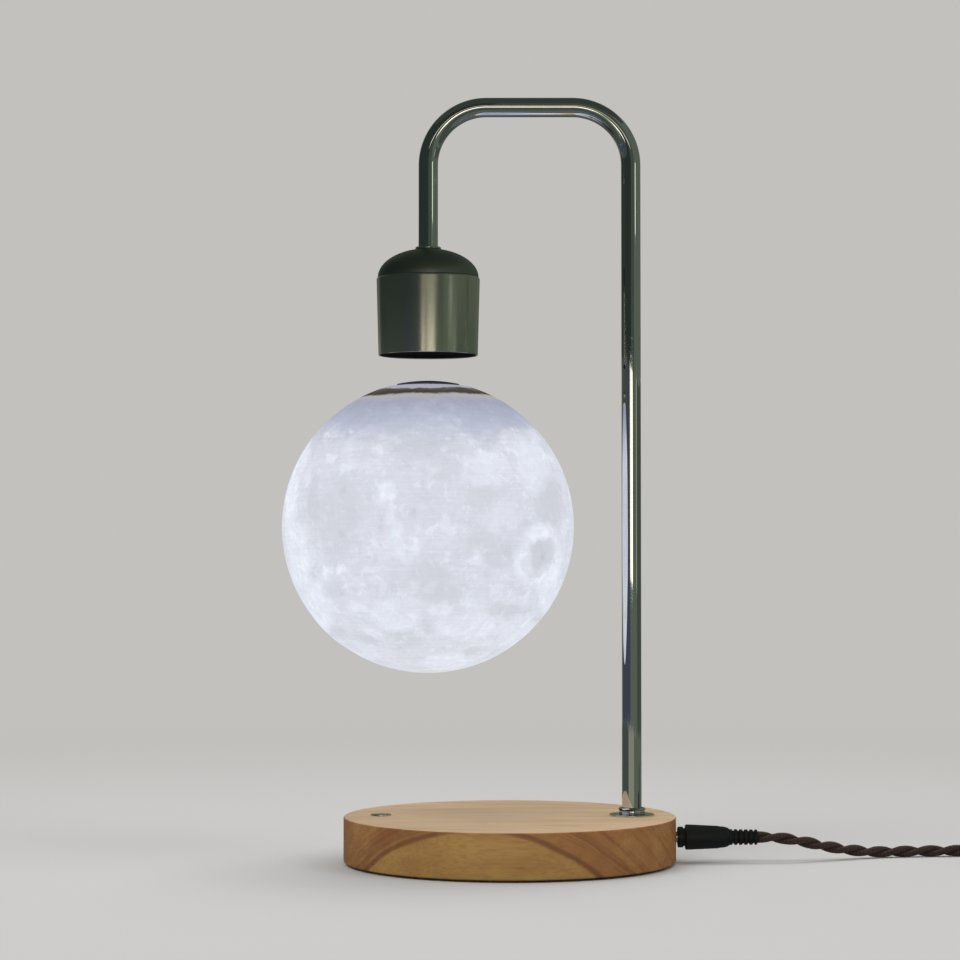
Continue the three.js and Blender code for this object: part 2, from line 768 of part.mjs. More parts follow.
// Height of the ground over the mean globe: wide lowlands, and bowls with a raised rim
function lunarRelief(direction) {
  let height = 0;
  for (const { at, share } of lowlands) {
    const reach = direction.distanceTo(at) / share;
    height -= lowlandDepth * (1 - THREE.MathUtils.smoothstep(reach, 0.7, 1.15));
  }
  for (const { at, share } of craters) {
    const reach = direction.distanceTo(at) / share;
    const bowl = -Math.max(0, 1 - reach ** 2);
    const rim = 0.45 * Math.exp(-(((reach - 1) / 0.3) ** 2));
    height += craterDepth * (bowl + rim) * Math.min(1, share / 0.12);
  }
  return height;
}

// Hollow globe with a round neck on top; only its outside carries the relief
function moonShell() {
  const neck = holderRadius + fit;
  const innerRadius = moonRadius - moonWall;
  const rimAngle = 90 - THREE.MathUtils.radToDeg(Math.asin(moonOpeningRadius / moonRadius));
  const neckAngle = 90 - THREE.MathUtils.radToDeg(Math.asin(neck / innerRadius));
  const outer = arc(0, 0, moonRadius, moonRadius, -90, rimAngle, moonRings);
  const inner = arc(0, 0, innerRadius, innerRadius, neckAngle, -90, moonInnerRings);
  outer[0][0] = 0;
  inner[inner.length - 1][0] = 0;
  const shell = revolve([...outer, [neck, moonRim], ...inner], moonSides);
  const position = shell.getAttribute('position');
  const point = new THREE.Vector3();
  const middle = moonRadius - moonWall / 2;
  for (let i = 0; i < position.count; i++) {
    point.fromBufferAttribute(position, i);
    if (point.length() < middle || point.z > moonRim - moonWall) continue;
    const direction = point.clone().normalize();
    const calm = 1 - THREE.MathUtils.smoothstep(direction.z, 0.8, 0.93);
    point.addScaledVector(direction, lunarRelief(direction) * calm - craterDepth * 0.2 * calm);
    position.setXYZ(i, point.x, point.y, point.z);
  }
  return shell;
}

// Lid of the neck, sloping to a thin edge, with a wall that reaches into the globe
function receiverHolder() {
  const bottom = holderTop - holderDepth;
  return revolve([
    [0, moonRim],
    [holderRadius - holderWall, moonRim],
    [holderRadius - holderWall, bottom],
    [holderRadius, bottom],
    [holderRadius, moonRim],
    [moonOpeningRadius, moonRim],
    [moonOpeningRadius, moonRim + lidEdge],
    [capRadius + lidLand, holderTop],
    [0, holderTop],
  ], mediumSides);
}

// Low black dome over the floating magnet
function magnetCap() {
  return revolve([
    [0, holderTop],
    [capRadius, holderTop],
    [capRadius, holderTop + capEdge],
    ...arc(0, holderTop + capEdge, capRadius, capRise - capEdge, 30, 75, 3),
    [0, holderTop + capRise],
  ], mediumSides);
}

function addMoon(lamp) {
  const moon = group(lamp, tubeHeadX, 0, moonCentreHeight);
  piece(moon, 'moon_shell', moonShell(), finishes.moonResin);
  piece(moon, 'receiver_holder', receiverHolder(), finishes.whitePlastic);
  piece(moon, 'magnet_cap', magnetCap(), finishes.blackPlastic);
  const magnetBottom = moonRim - floatMagnetHeight;
  piece(moon, 'float_magnet', disc(floatMagnetRadius, magnetBottom, moonRim, smallSides), finishes.zincSteel);
  const coilOuter = holderRadius - holderWall - fit;
  const coilBottom = moonRim - receiveCoilThickness;
  const coil = ring(coilOuter - receiveCoilWidth, coilOuter, coilBottom, moonRim, smallSides);
  piece(moon, 'receiver_coil', coil, finishes.copperWire);
  const receiverBottom = magnetBottom - receiverBoardThickness;
  const receiver = disc(coilOuter, receiverBottom, magnetBottom, smallSides);
  piece(moon, 'receiver_board', receiver, finishes.circuitBoard);
  const lightBottom = receiverBottom - lightBoardThickness;
  piece(moon, 'light_board', disc(coilOuter, lightBottom, receiverBottom, smallSides), finishes.whitePlastic);
  for (let i = 0; i < lightCount; i++) {
    const angle = ((i + 0.5) / lightCount) * Math.PI * 2;
    const reach = coilOuter * lightCircleShare;
    const place = group(moon, reach * Math.cos(angle), reach * Math.sin(angle), 0);
    const light = box(lightSize, lightSize, lightBottom - lightHeight, lightBottom);
    piece(place, `light_${i + 1}`, light, finishes.whitePlastic);
  }
}

// Socket with a centre pin, let into the wall of the base
function powerJack() {
  const front = baseRadius - jackRecess;
  const floor = plugFront - barrelLength - fit;
  return revolveAlongX([
    [0, floor + barrelLength / 2],
    [jackPinRadius, floor + barrelLength / 2],
    [jackPinRadius, floor],
    [barrelRadius + fit, floor],
    [barrelRadius + fit, front],
    [jackRadius, front],
    [jackRadius, front - jackLength],
    [0, front - jackLength],
  ], smallSides);
}

// Moulded handle of the plug: front ring, neck, tapered grip and shoulder
function plugBody() {
  const ringEnd = plugFront + plugLength * plugRingLengthShare;
  const neckEnd = ringEnd + plugLength * plugNeckLengthShare;
  const gripEnd = plugFront + plugLength * plugBodyLengthShare;
  const ringRadius = plugRadius * plugRingRadiusShare;
  const neckRadius = plugRadius * plugNeckRadiusShare;
  const gripEndRadius = plugRadius * plugBodyEndRadiusShare;
  return revolveAlongX([
    [0, plugFront],
    [ringRadius - fit, plugFront],
    [ringRadius, plugFront + fit],
    [ringRadius, ringEnd - fit],
    [neckRadius, ringEnd],
    [neckRadius, neckEnd - fit],
    [plugRadius - fit - fit, neckEnd],
    [plugRadius, neckEnd + fit + fit],
    [gripEndRadius, gripEnd],
    ...arc(plugTailRadius, gripEnd, gripEndRadius - plugTailRadius, plugEnd - gripEnd, 15, 90, 4),
    [0, plugEnd],
  ], smallSides);
}

// Ribbed sleeve with rounded ribs that lets the cord bend as it leaves a housing
function ribbedRelief(start, length, startRadius, endRadius, ribCount) {
  const pitch = length / (ribCount + 0.5);
  const profile = [[0, start], [startRadius, start]];
  for (let i = 0; i < ribCount; i++) {
    const ribStart = start + pitch * i;
    const radius = THREE.MathUtils.lerp(startRadius, endRadius, (i + 1) / ribCount);
    profile.push([radius, ribStart + pitch * 0.55]);
    profile.push([radius - reliefGrooveDepth, ribStart + pitch * 0.65]);
    profile.push([radius - reliefGrooveDepth, ribStart + pitch * 0.9]);
    profile.push([radius, ribStart + pitch]);
  }
  profile.push([endRadius, start + length - fit], [endRadius - fit, start + length], [0, start + length]);
  return revolveAlongX(profile, reliefSides);
}

function addPlug(lamp) {
  const place = group(lamp, 0, 0, plugHeight);
  piece(place, 'power_jack', powerJack(), finishes.blackPlastic);
  const bore = barrelRadius - barrelWall;
  const barrel = ring(bore, barrelRadius, plugFront - barrelLength, plugFront, smallSides);
  piece(place, 'plug_barrel', barrel.rotateY(Math.PI / 2), finishes.zincSteel);
  piece(place, 'plug_body', plugBody(), finishes.blackPvc);
  const relief = ribbedRelief(plugEnd, reliefLength, plugTailRadius, reliefEndRadius, reliefRibCount);
  piece(place, 'strain_relief', relief, finishes.blackPvc);
}

// Route points as vectors, and the length of the smooth curve through them
const routePoints = cordRoute.map((point) => new THREE.Vector3(...point));
const routeCurve = new THREE.CatmullRomCurve3(routePoints, false, 'centripetal');
const coilStart = routePoints[routePoints.length - 1];

// Two flat layers of loops: the lower one winds inwards, climbs in half a turn where the
// way turns round, and the upper one winds outwards. Both ends run straight for a diameter.
function coilCentreLine() {
  const woundLength = cordLength - routeCurve.getLength() - tailLength - cordDiameter * 2;
  const halfTurns = coilTurns / 2;
  const innerRadius = woundLength / (coilTurns * Math.PI * 2) - (coilPitch * halfTurns) / 2;
  const outerRadius = innerRadius + coilPitch * halfTurns;
  const centreX = coilStart.x + cordDiameter + fit;
  const centreY = coilStart.y - outerRadius;
  const points = [new THREE.Vector3(coilStart.x + fit, coilStart.y, coilLayerHeight)];
  const steps = coilTurns * coilStepsPerTurn;
  for (let i = 0; i <= steps; i++) {
    const turn = i / coilStepsPerTurn;
    const fromMiddle = turn - halfTurns;
    const climb = THREE.MathUtils.smoothstep(fromMiddle, -0.25, 0.25);
    const radius = innerRadius + coilPitch * Math.abs(fromMiddle);
    const angle = Math.PI / 2 - turn * Math.PI * 2;
    const x = centreX + radius * Math.cos(angle);
    const y = centreY + radius * Math.sin(angle);
    points.push(new THREE.Vector3(x, y, coilLayerHeight + coilPitch * climb));
  }
  const last = points[points.length - 1];
  points.push(new THREE.Vector3(last.x + cordDiameter, last.y, last.z));
  return { points, centreX, centreY, innerRadius, outerRadius };
}

// Least distance between the surfaces of turns that aren't neighbours along the cord
function leastSelfGap(points) {
  let least = Infinity;
  for (let i = 0; i < points.length; i++) {
    for (let k = i + coilStepsPerTurn / 2; k < points.length; k++) {
      least = Math.min(least, points[i].distanceTo(points[k]));
    }
  }
  return least - cordDiameter;
}

function freeTube(curve, length) {
  const steps = Math.ceil(length / (cordDiameter * 2));
  const section = roundSection(cordDiameter / 2, 0, cordSides);
  return closed(new THREE.ExtrudeGeometry(section, { steps, extrudePath: curve }));
}

// Flat band round the bundle, opposite the place where the cord comes in
function cordTie(coil) {
  const innermost = coil.innerRadius + coilPitch / 2 - cordDiameter / 2 - tieClearance;
  const outermost = coil.outerRadius - coilPitch / 2 + cordDiameter / 2 + tieClearance;
  const top = coilLayerHeight + coilPitch + cordDiameter / 2 + fit;
  const middle = (innermost + outermost) / 2;
  const outline = (grow) => {
    const half = (outermost - innermost) / 2 + grow;
    const [low, high] = [tieThickness - grow, top + grow];
    const corners = [[-half, low], [half, low], [half, high], [-half, high]];
    return corners.map((corner) => new THREE.Vector2(...corner));
  };
  const band = new THREE.Shape(outline(tieThickness));
  band.holes.push(new THREE.Path(outline(0)));
  const geometry = new THREE.ExtrudeGeometry(band, { depth: tieWidth, bevelEnabled: false, steps: 1 });
  geometry.translate(0, 0, -tieWidth / 2).rotateX(Math.PI / 2).rotateZ(Math.PI / 2);
  return closed(geometry).translate(coil.centreX, coil.centreY - middle, 0);
}

function addCord(lamp) {
  const run = freeTube(routeCurve, routeCurve.getLength());
  piece(lamp, 'cord_run', run, finishes.brownBraid);
  const coil = coilCentreLine();
  piece(lamp, 'cord_coil', sweep(coil.points, cordDiameter / 2, coilSides), finishes.brownBraid);
  piece(lamp, 'cord_tie', cordTie(coil), finishes.blackPvc);
  const coilEnd = coil.points[coil.points.length - 1];
  const tailStart = coilEnd.clone().setX(coilEnd.x + fit);
  const tailEnd = coilEnd.clone().setX(coilEnd.x + tailLength - fit);
  const tail = freeTube(new THREE.LineCurve3(tailStart, tailEnd), tailLength);
  piece(lamp, 'cord_tail', tail, finishes.brownBraid);
  console.log(`cord coil: least gap to itself ${leastSelfGap(coil.points).toFixed(2)} mm`);
  return coilEnd.clone().setX(coilEnd.x + tailLength);
}

// Outline of a box with round corners, in the plane across the cord
function roundedRectangle(width, height, corner) {
  const [x, y] = [width / 2 - corner, height / 2 - corner];
  const shape = new THREE.Shape();
  shape.absarc(x, y, corner, 0, Math.PI / 2, false);
  shape.absarc(-x, y, corner, Math.PI / 2, Math.PI, false);
  shape.absarc(-x, -y, corner, Math.PI, Math.PI * 1.5, false);
  shape.absarc(x, -y, corner, Math.PI * 1.5, Math.PI * 2, false);
  return shape;
}

// Box with round corners and eased ends along X, from a start
function moulding(start, length) {
  const shape = roundedRectangle(adapterWidth, adapterHeight, adapterCorner);
  const geometry = new THREE.ExtrudeGeometry(shape, {
    depth: length - adapterEdge * 2,
    bevelThickness: adapterEdge,
    bevelSize: adapterEdge,
    bevelOffset: -adapterEdge,
    bevelSegments: 1,
    curveSegments: 4,
    steps: 1,
  });
  geometry.translate(0, 0, adapterEdge).rotateZ(Math.PI / 2).rotateY(Math.PI / 2);
  return closed(geometry).translate(start, 0, 0);
}

function addAdapter(lamp, cordEnd) {
  const cordLine = group(lamp, 0, cordEnd.y, cordEnd.z);
  const relief = ribbedRelief(0, adapterReliefLength, adapterReliefRadius, reliefEndRadius, reliefRibCount);
  const bodyStart = cordEnd.x + adapterReliefLength;
  piece(cordLine, 'adapter_relief', relief.rotateZ(Math.PI).translate(bodyStart, 0, 0), finishes.blackPvc);
  const body = group(lamp, 0, cordEnd.y, adapterHeight / 2);
  const caseLength = adapterLength - adapterFaceThickness;
  piece(body, 'adapter_case', moulding(bodyStart, caseLength), finishes.blackPlastic);
  const faceStart = bodyStart + caseLength;
  piece(body, 'adapter_face', moulding(faceStart, adapterFaceThickness), finishes.blackPlastic);
  const bladeStart = faceStart + adapterFaceThickness;
  for (const side of [-1, 1]) {
    const blade = new THREE.BoxGeometry(bladeLength, bladeThickness, bladeWidth);
    const place = group(body, bladeStart + bladeLength / 2, (side * bladeSpacing) / 2, 0);
    piece(place, side < 0 ? 'adapter_blade_1' : 'adapter_blade_2', closed(blade), finishes.zincSteel);
  }
}

const lamp = new THREE.Group();
addBaseShell(lamp);
addControlBoard(lamp);
addTouchButton(lamp);
addArm(lamp);
addHead(lamp);
addMoon(lamp);
addPlug(lamp);
addAdapter(lamp, addCord(lamp));

export default lamp;
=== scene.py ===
# Levitating moon lamp: a lit globe floats under the magnet of an arched chrome arm on a wooden base.
# Metres, +Z up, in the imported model's own frame. The camera looks along +Y, as the photograph does.
import math
import random

import bmesh
import bpy
import numpy as np
from mathutils import Matrix, Vector, noise


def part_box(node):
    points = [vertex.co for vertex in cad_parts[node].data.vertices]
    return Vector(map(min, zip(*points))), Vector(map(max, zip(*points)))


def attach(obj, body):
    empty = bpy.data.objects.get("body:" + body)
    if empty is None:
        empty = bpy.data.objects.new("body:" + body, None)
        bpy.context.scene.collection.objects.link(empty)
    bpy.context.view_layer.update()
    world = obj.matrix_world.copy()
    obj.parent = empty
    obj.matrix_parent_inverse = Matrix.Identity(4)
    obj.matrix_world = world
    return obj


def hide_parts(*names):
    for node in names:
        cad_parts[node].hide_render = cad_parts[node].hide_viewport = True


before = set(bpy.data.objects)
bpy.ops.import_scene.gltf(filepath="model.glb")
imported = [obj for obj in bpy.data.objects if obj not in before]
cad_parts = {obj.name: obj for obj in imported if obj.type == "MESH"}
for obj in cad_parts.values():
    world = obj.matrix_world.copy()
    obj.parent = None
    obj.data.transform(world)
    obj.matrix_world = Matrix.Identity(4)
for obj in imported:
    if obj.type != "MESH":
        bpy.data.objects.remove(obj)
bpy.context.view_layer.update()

MM = 0.001
FULL_TURN = math.tau
X_AXIS, Y_AXIS, Z_AXIS = Vector((1, 0, 0)), Vector((0, 1, 0)), Vector((0, 0, 1))
UPRIGHT, ALONG_X, ALONG_Y = (0, 0, 0), (0, math.pi / 2, 0), (math.pi / 2, 0, 0)

# Fineness of round pieces
LARGE_STEPS = 160
MEDIUM_STEPS = 96
SMALL_STEPS = 48
SMOOTH_ANGLE = math.radians(35)
JOIN_DISTANCE = 0.001 * MM


def node_span(node, axis):
    """Lowest and highest value of a CAD node along one axis: 0, 1 or 2."""
    low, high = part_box(node)
    return low[axis], high[axis]


def node_middle(node):
    low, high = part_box(node)
    return (low + high) / 2


def round_node(node, axis=2):
    """Radius of a round CAD node, and its lowest and highest place along its axis."""
    low, high = node_span(node, 2 if axis == 0 else 0)
    return (high - low) / 2, *node_span(node, axis)


# Camera, fitted to the photograph by the lamp's edges
CAMERA_PLACE = (-15.2 * MM, -1333.9 * MM, 155.6 * MM)
CAMERA_TILT = math.radians(90 + 1.734)
CAMERA_LENS = 97.29
CAMERA_SENSOR = 36


def add_camera():
    bpy.ops.object.camera_add(location=CAMERA_PLACE, rotation=(CAMERA_TILT, 0, 0))
    camera = bpy.context.object
    camera.data.lens = CAMERA_LENS
    camera.data.sensor_width = CAMERA_SENSOR
    bpy.context.scene.camera = camera


add_camera()
bpy.context.scene.view_settings.view_transform = "Standard"


# Colours and nodes

def linear(hex_colour):
    """An sRGB hex colour as linear red, green, blue and alpha."""
    values = [int(hex_colour[i:i + 2], 16) / 255 for i in (1, 3, 5)]
    return [v / 12.92 if v <= 0.04045 else ((v + 0.055) / 1.055) ** 2.4 for v in values] + [1.0]


def add_node(tree, kind, inputs=None, **settings):
    """A new node with its settings, and its inputs set to values or linked to sockets."""
    node = tree.nodes.new(kind)
    for name, value in settings.items():
        setattr(node, name, value)
    for name, value in (inputs or {}).items():
        if isinstance(value, bpy.types.NodeSocket):
            tree.links.new(value, node.inputs[name])
        else:
            node.inputs[name].default_value = value
    return node


def ramped(tree, value, stops):
    """A colour ramp with (place, hex colour) stops, read at a value."""
    node = add_node(tree, "ShaderNodeValToRGB", {"Fac": value})
    elements = node.color_ramp.elements
    while len(elements) < len(stops):
        elements.new(0.5)
    for element, (place, colour) in zip(elements, stops):
        element.position = place
        element.color = linear(colour)
    return node.outputs["Color"]


def new_finish(name, **inputs):
    """A material, its node tree and its principled shader with constant values set on it."""
    material = bpy.data.materials.new(name)
    material.use_nodes = True
    tree = material.node_tree
    shader = tree.nodes["Principled BSDF"]
    for socket, value in inputs.items():
        shader.inputs[socket.replace("_", " ")].default_value = value
    return material, tree, shader


def object_places(tree, scale=(1, 1, 1), shift=(0, 0, 0)):
    """Object coordinates, moved and scaled by a mapping node."""
    coordinates = add_node(tree, "ShaderNodeTexCoord")
    mapping = add_node(tree, "ShaderNodeMapping", {
        "Vector": coordinates.outputs["Object"], "Location": shift, "Scale": scale})
    return mapping.outputs["Vector"]


def mixed(tree, factor, first, second):
    """Mix of two colours by a factor, each a socket or a hex colour."""
    colours = [linear(c) if isinstance(c, str) else c for c in (first, second)]
    node = add_node(tree, "ShaderNodeMix", data_type="RGBA")
    for index, value in ((0, factor), (6, colours[0]), (7, colours[1])):
        if isinstance(value, bpy.types.NodeSocket):
            tree.links.new(value, node.inputs[index])
        else:
            node.inputs[index].default_value = value
    return node.outputs[2]


def reckoned(tree, operation, first, second=0.0):
    """Result of a math node on sockets or numbers."""
    return add_node(tree, "ShaderNodeMath", {0: first, 1: second}, operation=operation).outputs[0]


def plus(tree, first, second):
    return reckoned(tree, "ADD", first, second)


def minus(tree, first, second):
    return reckoned(tree, "SUBTRACT", first, second)


def times(tree, first, second):
    return reckoned(tree, "MULTIPLY", first, second)


def ranged(tree, value, low, high, to_low=0.0, to_high=1.0, smooth=False):
    kind = "SMOOTHSTEP" if smooth else "LINEAR"
    node = add_node(tree, "ShaderNodeMapRange", {
        "Value": value, "From Min": low, "From Max": high, "To Min": to_low, "To Max": to_high},
        interpolation_type=kind)
    return node.outputs["Result"]


def grain(tree, scale, detail=3.0, roughness=0.5, distortion=0.0, stretch=(1, 1, 1), places=None):
    """Noise on object coordinates; a low stretch along an axis draws it out that way."""
    if places is None:
        places = object_places(tree, stretch)
    node = add_node(tree, "ShaderNodeTexNoise", {
        "Vector": places, "Scale": scale, "Detail": detail, "Roughness": roughness,
        "Distortion": distortion})
    return node.outputs["Fac"]


def cell_pattern(tree, scale):
    return add_node(tree, "ShaderNodeTexVoronoi", {
        "Vector": object_places(tree), "Scale": scale}).outputs["Distance"]


def bumped(shader, height, distance, strength=1.0):
    bump = add_node(shader.id_data, "ShaderNodeBump", {
        "Height": height, "Distance": distance, "Strength": strength})
    into(shader, "Normal", bump.outputs["Normal"])


def into(node, socket, value):
    node.id_data.links.new(value, node.inputs[socket])


def tinted(shader, pattern, first, second, socket="Base Color"):
    """Colours a shader between two tones, by a pattern."""
    into(shader, socket, mixed(shader.id_data, pattern, first, second))


def roughened(shader, pattern, low, high, to_low, to_high):
    into(shader, "Roughness", ranged(shader.id_data, pattern, low, high, to_low, to_high))


def parts_of(tree, vector):
    """The X, Y and Z outputs of a vector."""
    return add_node(tree, "ShaderNodeSeparateXYZ", {"Vector": vector}).outputs


# Oiled hardwood: fibre along X; the growth layers dip backwards, so the front edge shows them
# as one wide arch and the top shows long bands
WOOD_PITH = (-22.7 * MM, -91.7 * MM)
WOOD_DIP = 0.35
WOOD_FRONT = -85 * MM
WOOD_LATE_RING = 116.6 * MM
WOOD_WANDER = 1.6 * MM
WOOD_DRAW = 0.04


def growth_layers(tree):
    """The distance from the wood's pith, which the growth layers follow, and that across the board."""
    wander = grain(tree, 30, 2, stretch=(0.35, 1, 1))
    apart = parts_of(tree, object_places(tree))
    dip = times(tree, minus(tree, apart["Y"], WOOD_FRONT), WOOD_DIP)
    up = plus(tree, minus(tree, apart["Z"], WOOD_PITH[1]), dip)
    across = minus(tree, apart["X"], WOOD_PITH[0])
    radius = reckoned(tree, "SQRT", plus(
        tree, reckoned(tree, "POWER", across, 2), reckoned(tree, "POWER", up, 2)))
    radius = plus(tree, radius, ranged(tree, wander, 0.2, 0.8, -WOOD_WANDER, WOOD_WANDER))
    layer = add_node(tree, "ShaderNodeCombineXYZ", {
        "X": radius, "Y": times(tree, across, WOOD_DRAW), "Z": times(tree, apart["Y"], WOOD_DRAW)})
    return radius, layer.outputs["Vector"]


def oiled_wood():
    material, tree, shader = new_finish("oiled_hardwood", Roughness=0.5, IOR=1.5)
    radius, layer = growth_layers(tree)
    # Inside the late ring the wood is yellower, outside redder
    side = ranged(tree, radius, WOOD_LATE_RING - 1 * MM, WOOD_LATE_RING + 1.5 * MM, smooth=True)
    ground = mixed(tree, side, "#b18849", "#a2713f")
    # Streaks along the growth layers, about 3 mm apart
    streaks = grain(tree, 260, 3, 0.6, places=layer)
    strength = mixed(tree, side, "#4d4d4d", "#e6e6e6")
    streak = times(tree, ranged(tree, streaks, 0.47, 0.66, 0, 1, smooth=True), strength)
    ground = mixed(tree, streak, ground, "#83502c")
    # The one dark line that arches over the front
    from_ring = reckoned(tree, "ABSOLUTE", minus(tree, radius, WOOD_LATE_RING + 1.4 * MM))
    line = ranged(tree, from_ring, 0.4 * MM, 2.2 * MM, 0.7, 0, smooth=True)
    ground = mixed(tree, line, ground, "#6b3f22")
    # Cloudy figure, long in the fibre's direction
    cloud = grain(tree, 75, 4, 0.6, 0.4, stretch=(0.3, 1, 1))
    ground = mixed(tree, ranged(tree, cloud, 0.5, 0.75, 0, 0.5), ground, "#94592f")
    ground = mixed(tree, ranged(tree, cloud, 0.5, 0.25, 0, 0.35), ground, "#c9a05e")
    # Fibres and pores, drawn 0.5 mm wide so that they show
    fibres = grain(tree, 900, 4, 0.65, stretch=(0.05, 1, 1))
    ground = mixed(tree, ranged(tree, fibres, 0.45, 0.72, 0, 0.42), ground, "#7a5230")
    # Painted light: the upward face is drawn paler and pinker than the turned edge, where the light and the
    # globe's glow fall on the top and the edge lies in shade
    facing = parts_of(tree, add_node(tree, "ShaderNodeNewGeometry").outputs["Normal"])["Z"]
    face = ranged(tree, facing, 0.6, 0.98, 0, 0.6, smooth=True)
    ground = mixed(tree, face, ground, "#e6cfae")
    # Long lines and paler bands that only the sanded face shows
    bands = grain(tree, 110, 3, 0.55, 0.3, stretch=(0.12, 1, 1))
    lines = grain(tree, 420, 3, 0.6, stretch=(0.03, 1, 1))
    for pattern, start, end, gain in ((bands, 0.46, 0.66, 0.4), (lines, 0.52, 0.68, 0.45)):
        worn = times(tree, ranged(tree, pattern, start, end, 0, gain, smooth=True), face)
        ground = mixed(tree, worn, ground, "#96714c")
    into(shader, "Base Color", ground)
    roughened(shader, fibres, 0.3, 0.7, 0.42, 0.6)
    bumped(shader, fibres, 0.12 * MM, 0.5)
    return material


# Polished chrome plate: a near mirror, a little cold, with faint waves of the tube under it
def polished_chrome():
    material, tree, shader = new_finish(
        "polished_chrome", Base_Color=linear("#dfe3e3"), Metallic=1.0)
    marks = grain(tree, 240, 3)
    roughened(shader, marks, 0.45, 0.75, 0.03, 0.055)
    waves = grain(tree, 60, 1, stretch=(1, 1, 0.25))
    bumped(shader, waves, 0.12 * MM, 0.15)
    return material


# Satin nickel: spun brass, plated and brushed round the turn, with a greenish smoked lacquer
def brushed_nickel(name, light, dark, rough, drawn_out):
    material, tree, shader = new_finish(
        name, Metallic=1.0, Roughness=rough, Anisotropic=drawn_out, Anisotropic_Rotation=0.25)
    tangent = add_node(tree, "ShaderNodeTangent", direction_type="RADIAL", axis="Z")
    into(shader, "Tangent", tangent.outputs["Tangent"])
    # Brush lines 0.3 mm apart, long round the turn, and the lacquer's faint clouds
    lines = grain(tree, 3300, 1, 0.5, stretch=(0.01, 0.01, 1))
    cloud = grain(tree, 40, 2)
    shade = mixed(tree, ranged(tree, lines, 0.35, 0.65), light, dark)
    tinted(shader, ranged(tree, cloud, 0.3, 0.7, 0, 0.5), shade, dark)
    return material


# Injection-moulded plastic with a fine spark-eroded grain
def moulded_plastic(name, colour, rough, grain_size=0.35 * MM, depth=0.02 * MM, mix_to="#232427",
                    gloss=0.5):
    material, tree, shader = new_finish(
        name, Base_Color=linear(colour), Roughness=rough, IOR=1.5, Specular_IOR_Level=gloss)
    fine = grain(tree, 1 / grain_size, 2)
    cloud = grain(tree, 45, 2)
    roughened(shader, fine, 0.3, 0.7, rough - 0.06, rough + 0.08)
    tinted(shader, ranged(tree, cloud, 0.3, 0.7, 0, 0.3), colour, mix_to)
    bumped(shader, fine, depth, 0.5)
    return material


# Bright zinc plate on steel, faintly spangled
def zinc_steel():
    material, tree, shader = new_finish(
        "zinc_plated_steel", Base_Color=linear("#b5b6b0"), Metallic=1.0, Roughness=0.3)
    cells = cell_pattern(tree, 420)
    roughened(shader, cells, 0, 0.8, 0.24, 0.42)
    tinted(shader, ranged(tree, cells, 0, 0.8), "#bdbdb6", "#a5a8a6")
    return material


# Nickel plate of the plug's barrel and of the blades: bright, slightly yellow, with wipe marks
def nickel_plate():
    material, tree, shader = new_finish(
        "nickel_plated_brass", Base_Color=linear("#cdc6b4"), Metallic=1.0, Roughness=0.2)
    marks = grain(tree, 900, 3, stretch=(0.2, 1, 1))
    roughened(shader, marks, 0.3, 0.7, 0.14, 0.3)
    return material


# Closed-cell EVA foam sheet: dead matt, with cells 0.5 mm across
def foam_sheet():
    # Painted light: the pad's browns are drawn paler than its own, so that its edge in the base's shadow
    # reads as a soft line
    material, tree, shader = new_finish("brown_eva_foam", Base_Color=linear("#8f7a60"), Roughness=0.95)
    cells = cell_pattern(tree, 1900)
    tinted(shader, ranged(tree, cells, 0.1, 0.7), "#7d6a52", "#9c866a")
    bumped(shader, cells, 0.12 * MM, 0.6)
    return material


# Hard-pressed fibreboard, dyed black, with short fibres in it
def fibreboard():
    material, tree, shader = new_finish("black_fibreboard", Roughness=0.85)
    fibres = grain(tree, 700, 4, 0.7, stretch=(1, 0.3, 1))
    tinted(shader, ranged(tree, fibres, 0.35, 0.7), "#242220", "#3b3733")
    bumped(shader, fibres, 0.05 * MM, 0.5)
    return material


# Glass-fibre circuit board under green solder mask, with paler copper runs below it
def circuit_board():
    material, tree, shader = new_finish("green_solder_mask", Roughness=0.35, Coat_Weight=0.3)
    runs = add_node(tree, "ShaderNodeTexBrick", {
        "Vector": object_places(tree), "Scale": 260, "Mortar Size": 0.06})
    tinted(shader, runs.outputs["Fac"], "#1d5637", "#2f7a4f")
    return material


# Enamelled copper wire, wound: turns 0.5 mm apart
def copper_winding():
    material, tree, shader = new_finish(
        "enamelled_copper", Base_Color=linear("#b5623a"), Metallic=1.0, Roughness=0.35)
    turns = add_node(tree, "ShaderNodeTexWave", {"Vector": object_places(tree), "Scale": 640},
                     bands_direction="Z")
    tinted(shader, turns.outputs["Fac"], "#8a4526", "#c8764a")
    bumped(shader, turns.outputs["Fac"], 0.1 * MM, 0.6)
    return material


# Sintered ferrite: dark grey, stony, slightly sparkling
def ferrite():
    material, tree, shader = new_finish("sintered_ferrite", Roughness=0.6, Metallic=0.2)
    grit = grain(tree, 1500, 3)
    tinted(shader, ranged(tree, grit, 0.4, 0.65), "#2f3033", "#4b4c50")
    return material


# Aluminium can of a capacitor, drawn, with fine lines up its side
def drawn_aluminium():
    material, tree, shader = new_finish(
        "drawn_aluminium", Base_Color=linear("#c4c6c8"), Metallic=1.0, Roughness=0.3)
    lines = grain(tree, 2500, 2, stretch=(1, 1, 0.05))
    roughened(shader, lines, 0.3, 0.7, 0.22, 0.38)
    return material


# Clear silicone lens over a lit diode
def lit_lens():
    material, tree, shader = new_finish(
        "lit_silicone_lens", Base_Color=linear("#eef1f6"), Roughness=0.25, Emission_Strength=1.0)
    spot = grain(tree, 400, 1)
    tinted(shader, spot, "#eef2ff", "#ffffff", "Emission Color")
    return material


# Moulded, half-transparent white lid, lit from below
def lit_lid():
    material, tree, shader = new_finish(
        "white_moulded_polycarbonate", Base_Color=linear("#8d909a"), Roughness=0.4,
        Emission_Strength=0.36)
    cloud = grain(tree, 120, 2)
    tinted(shader, cloud, "#bfc2cf", "#d3d5df", "Emission Color")
    return material


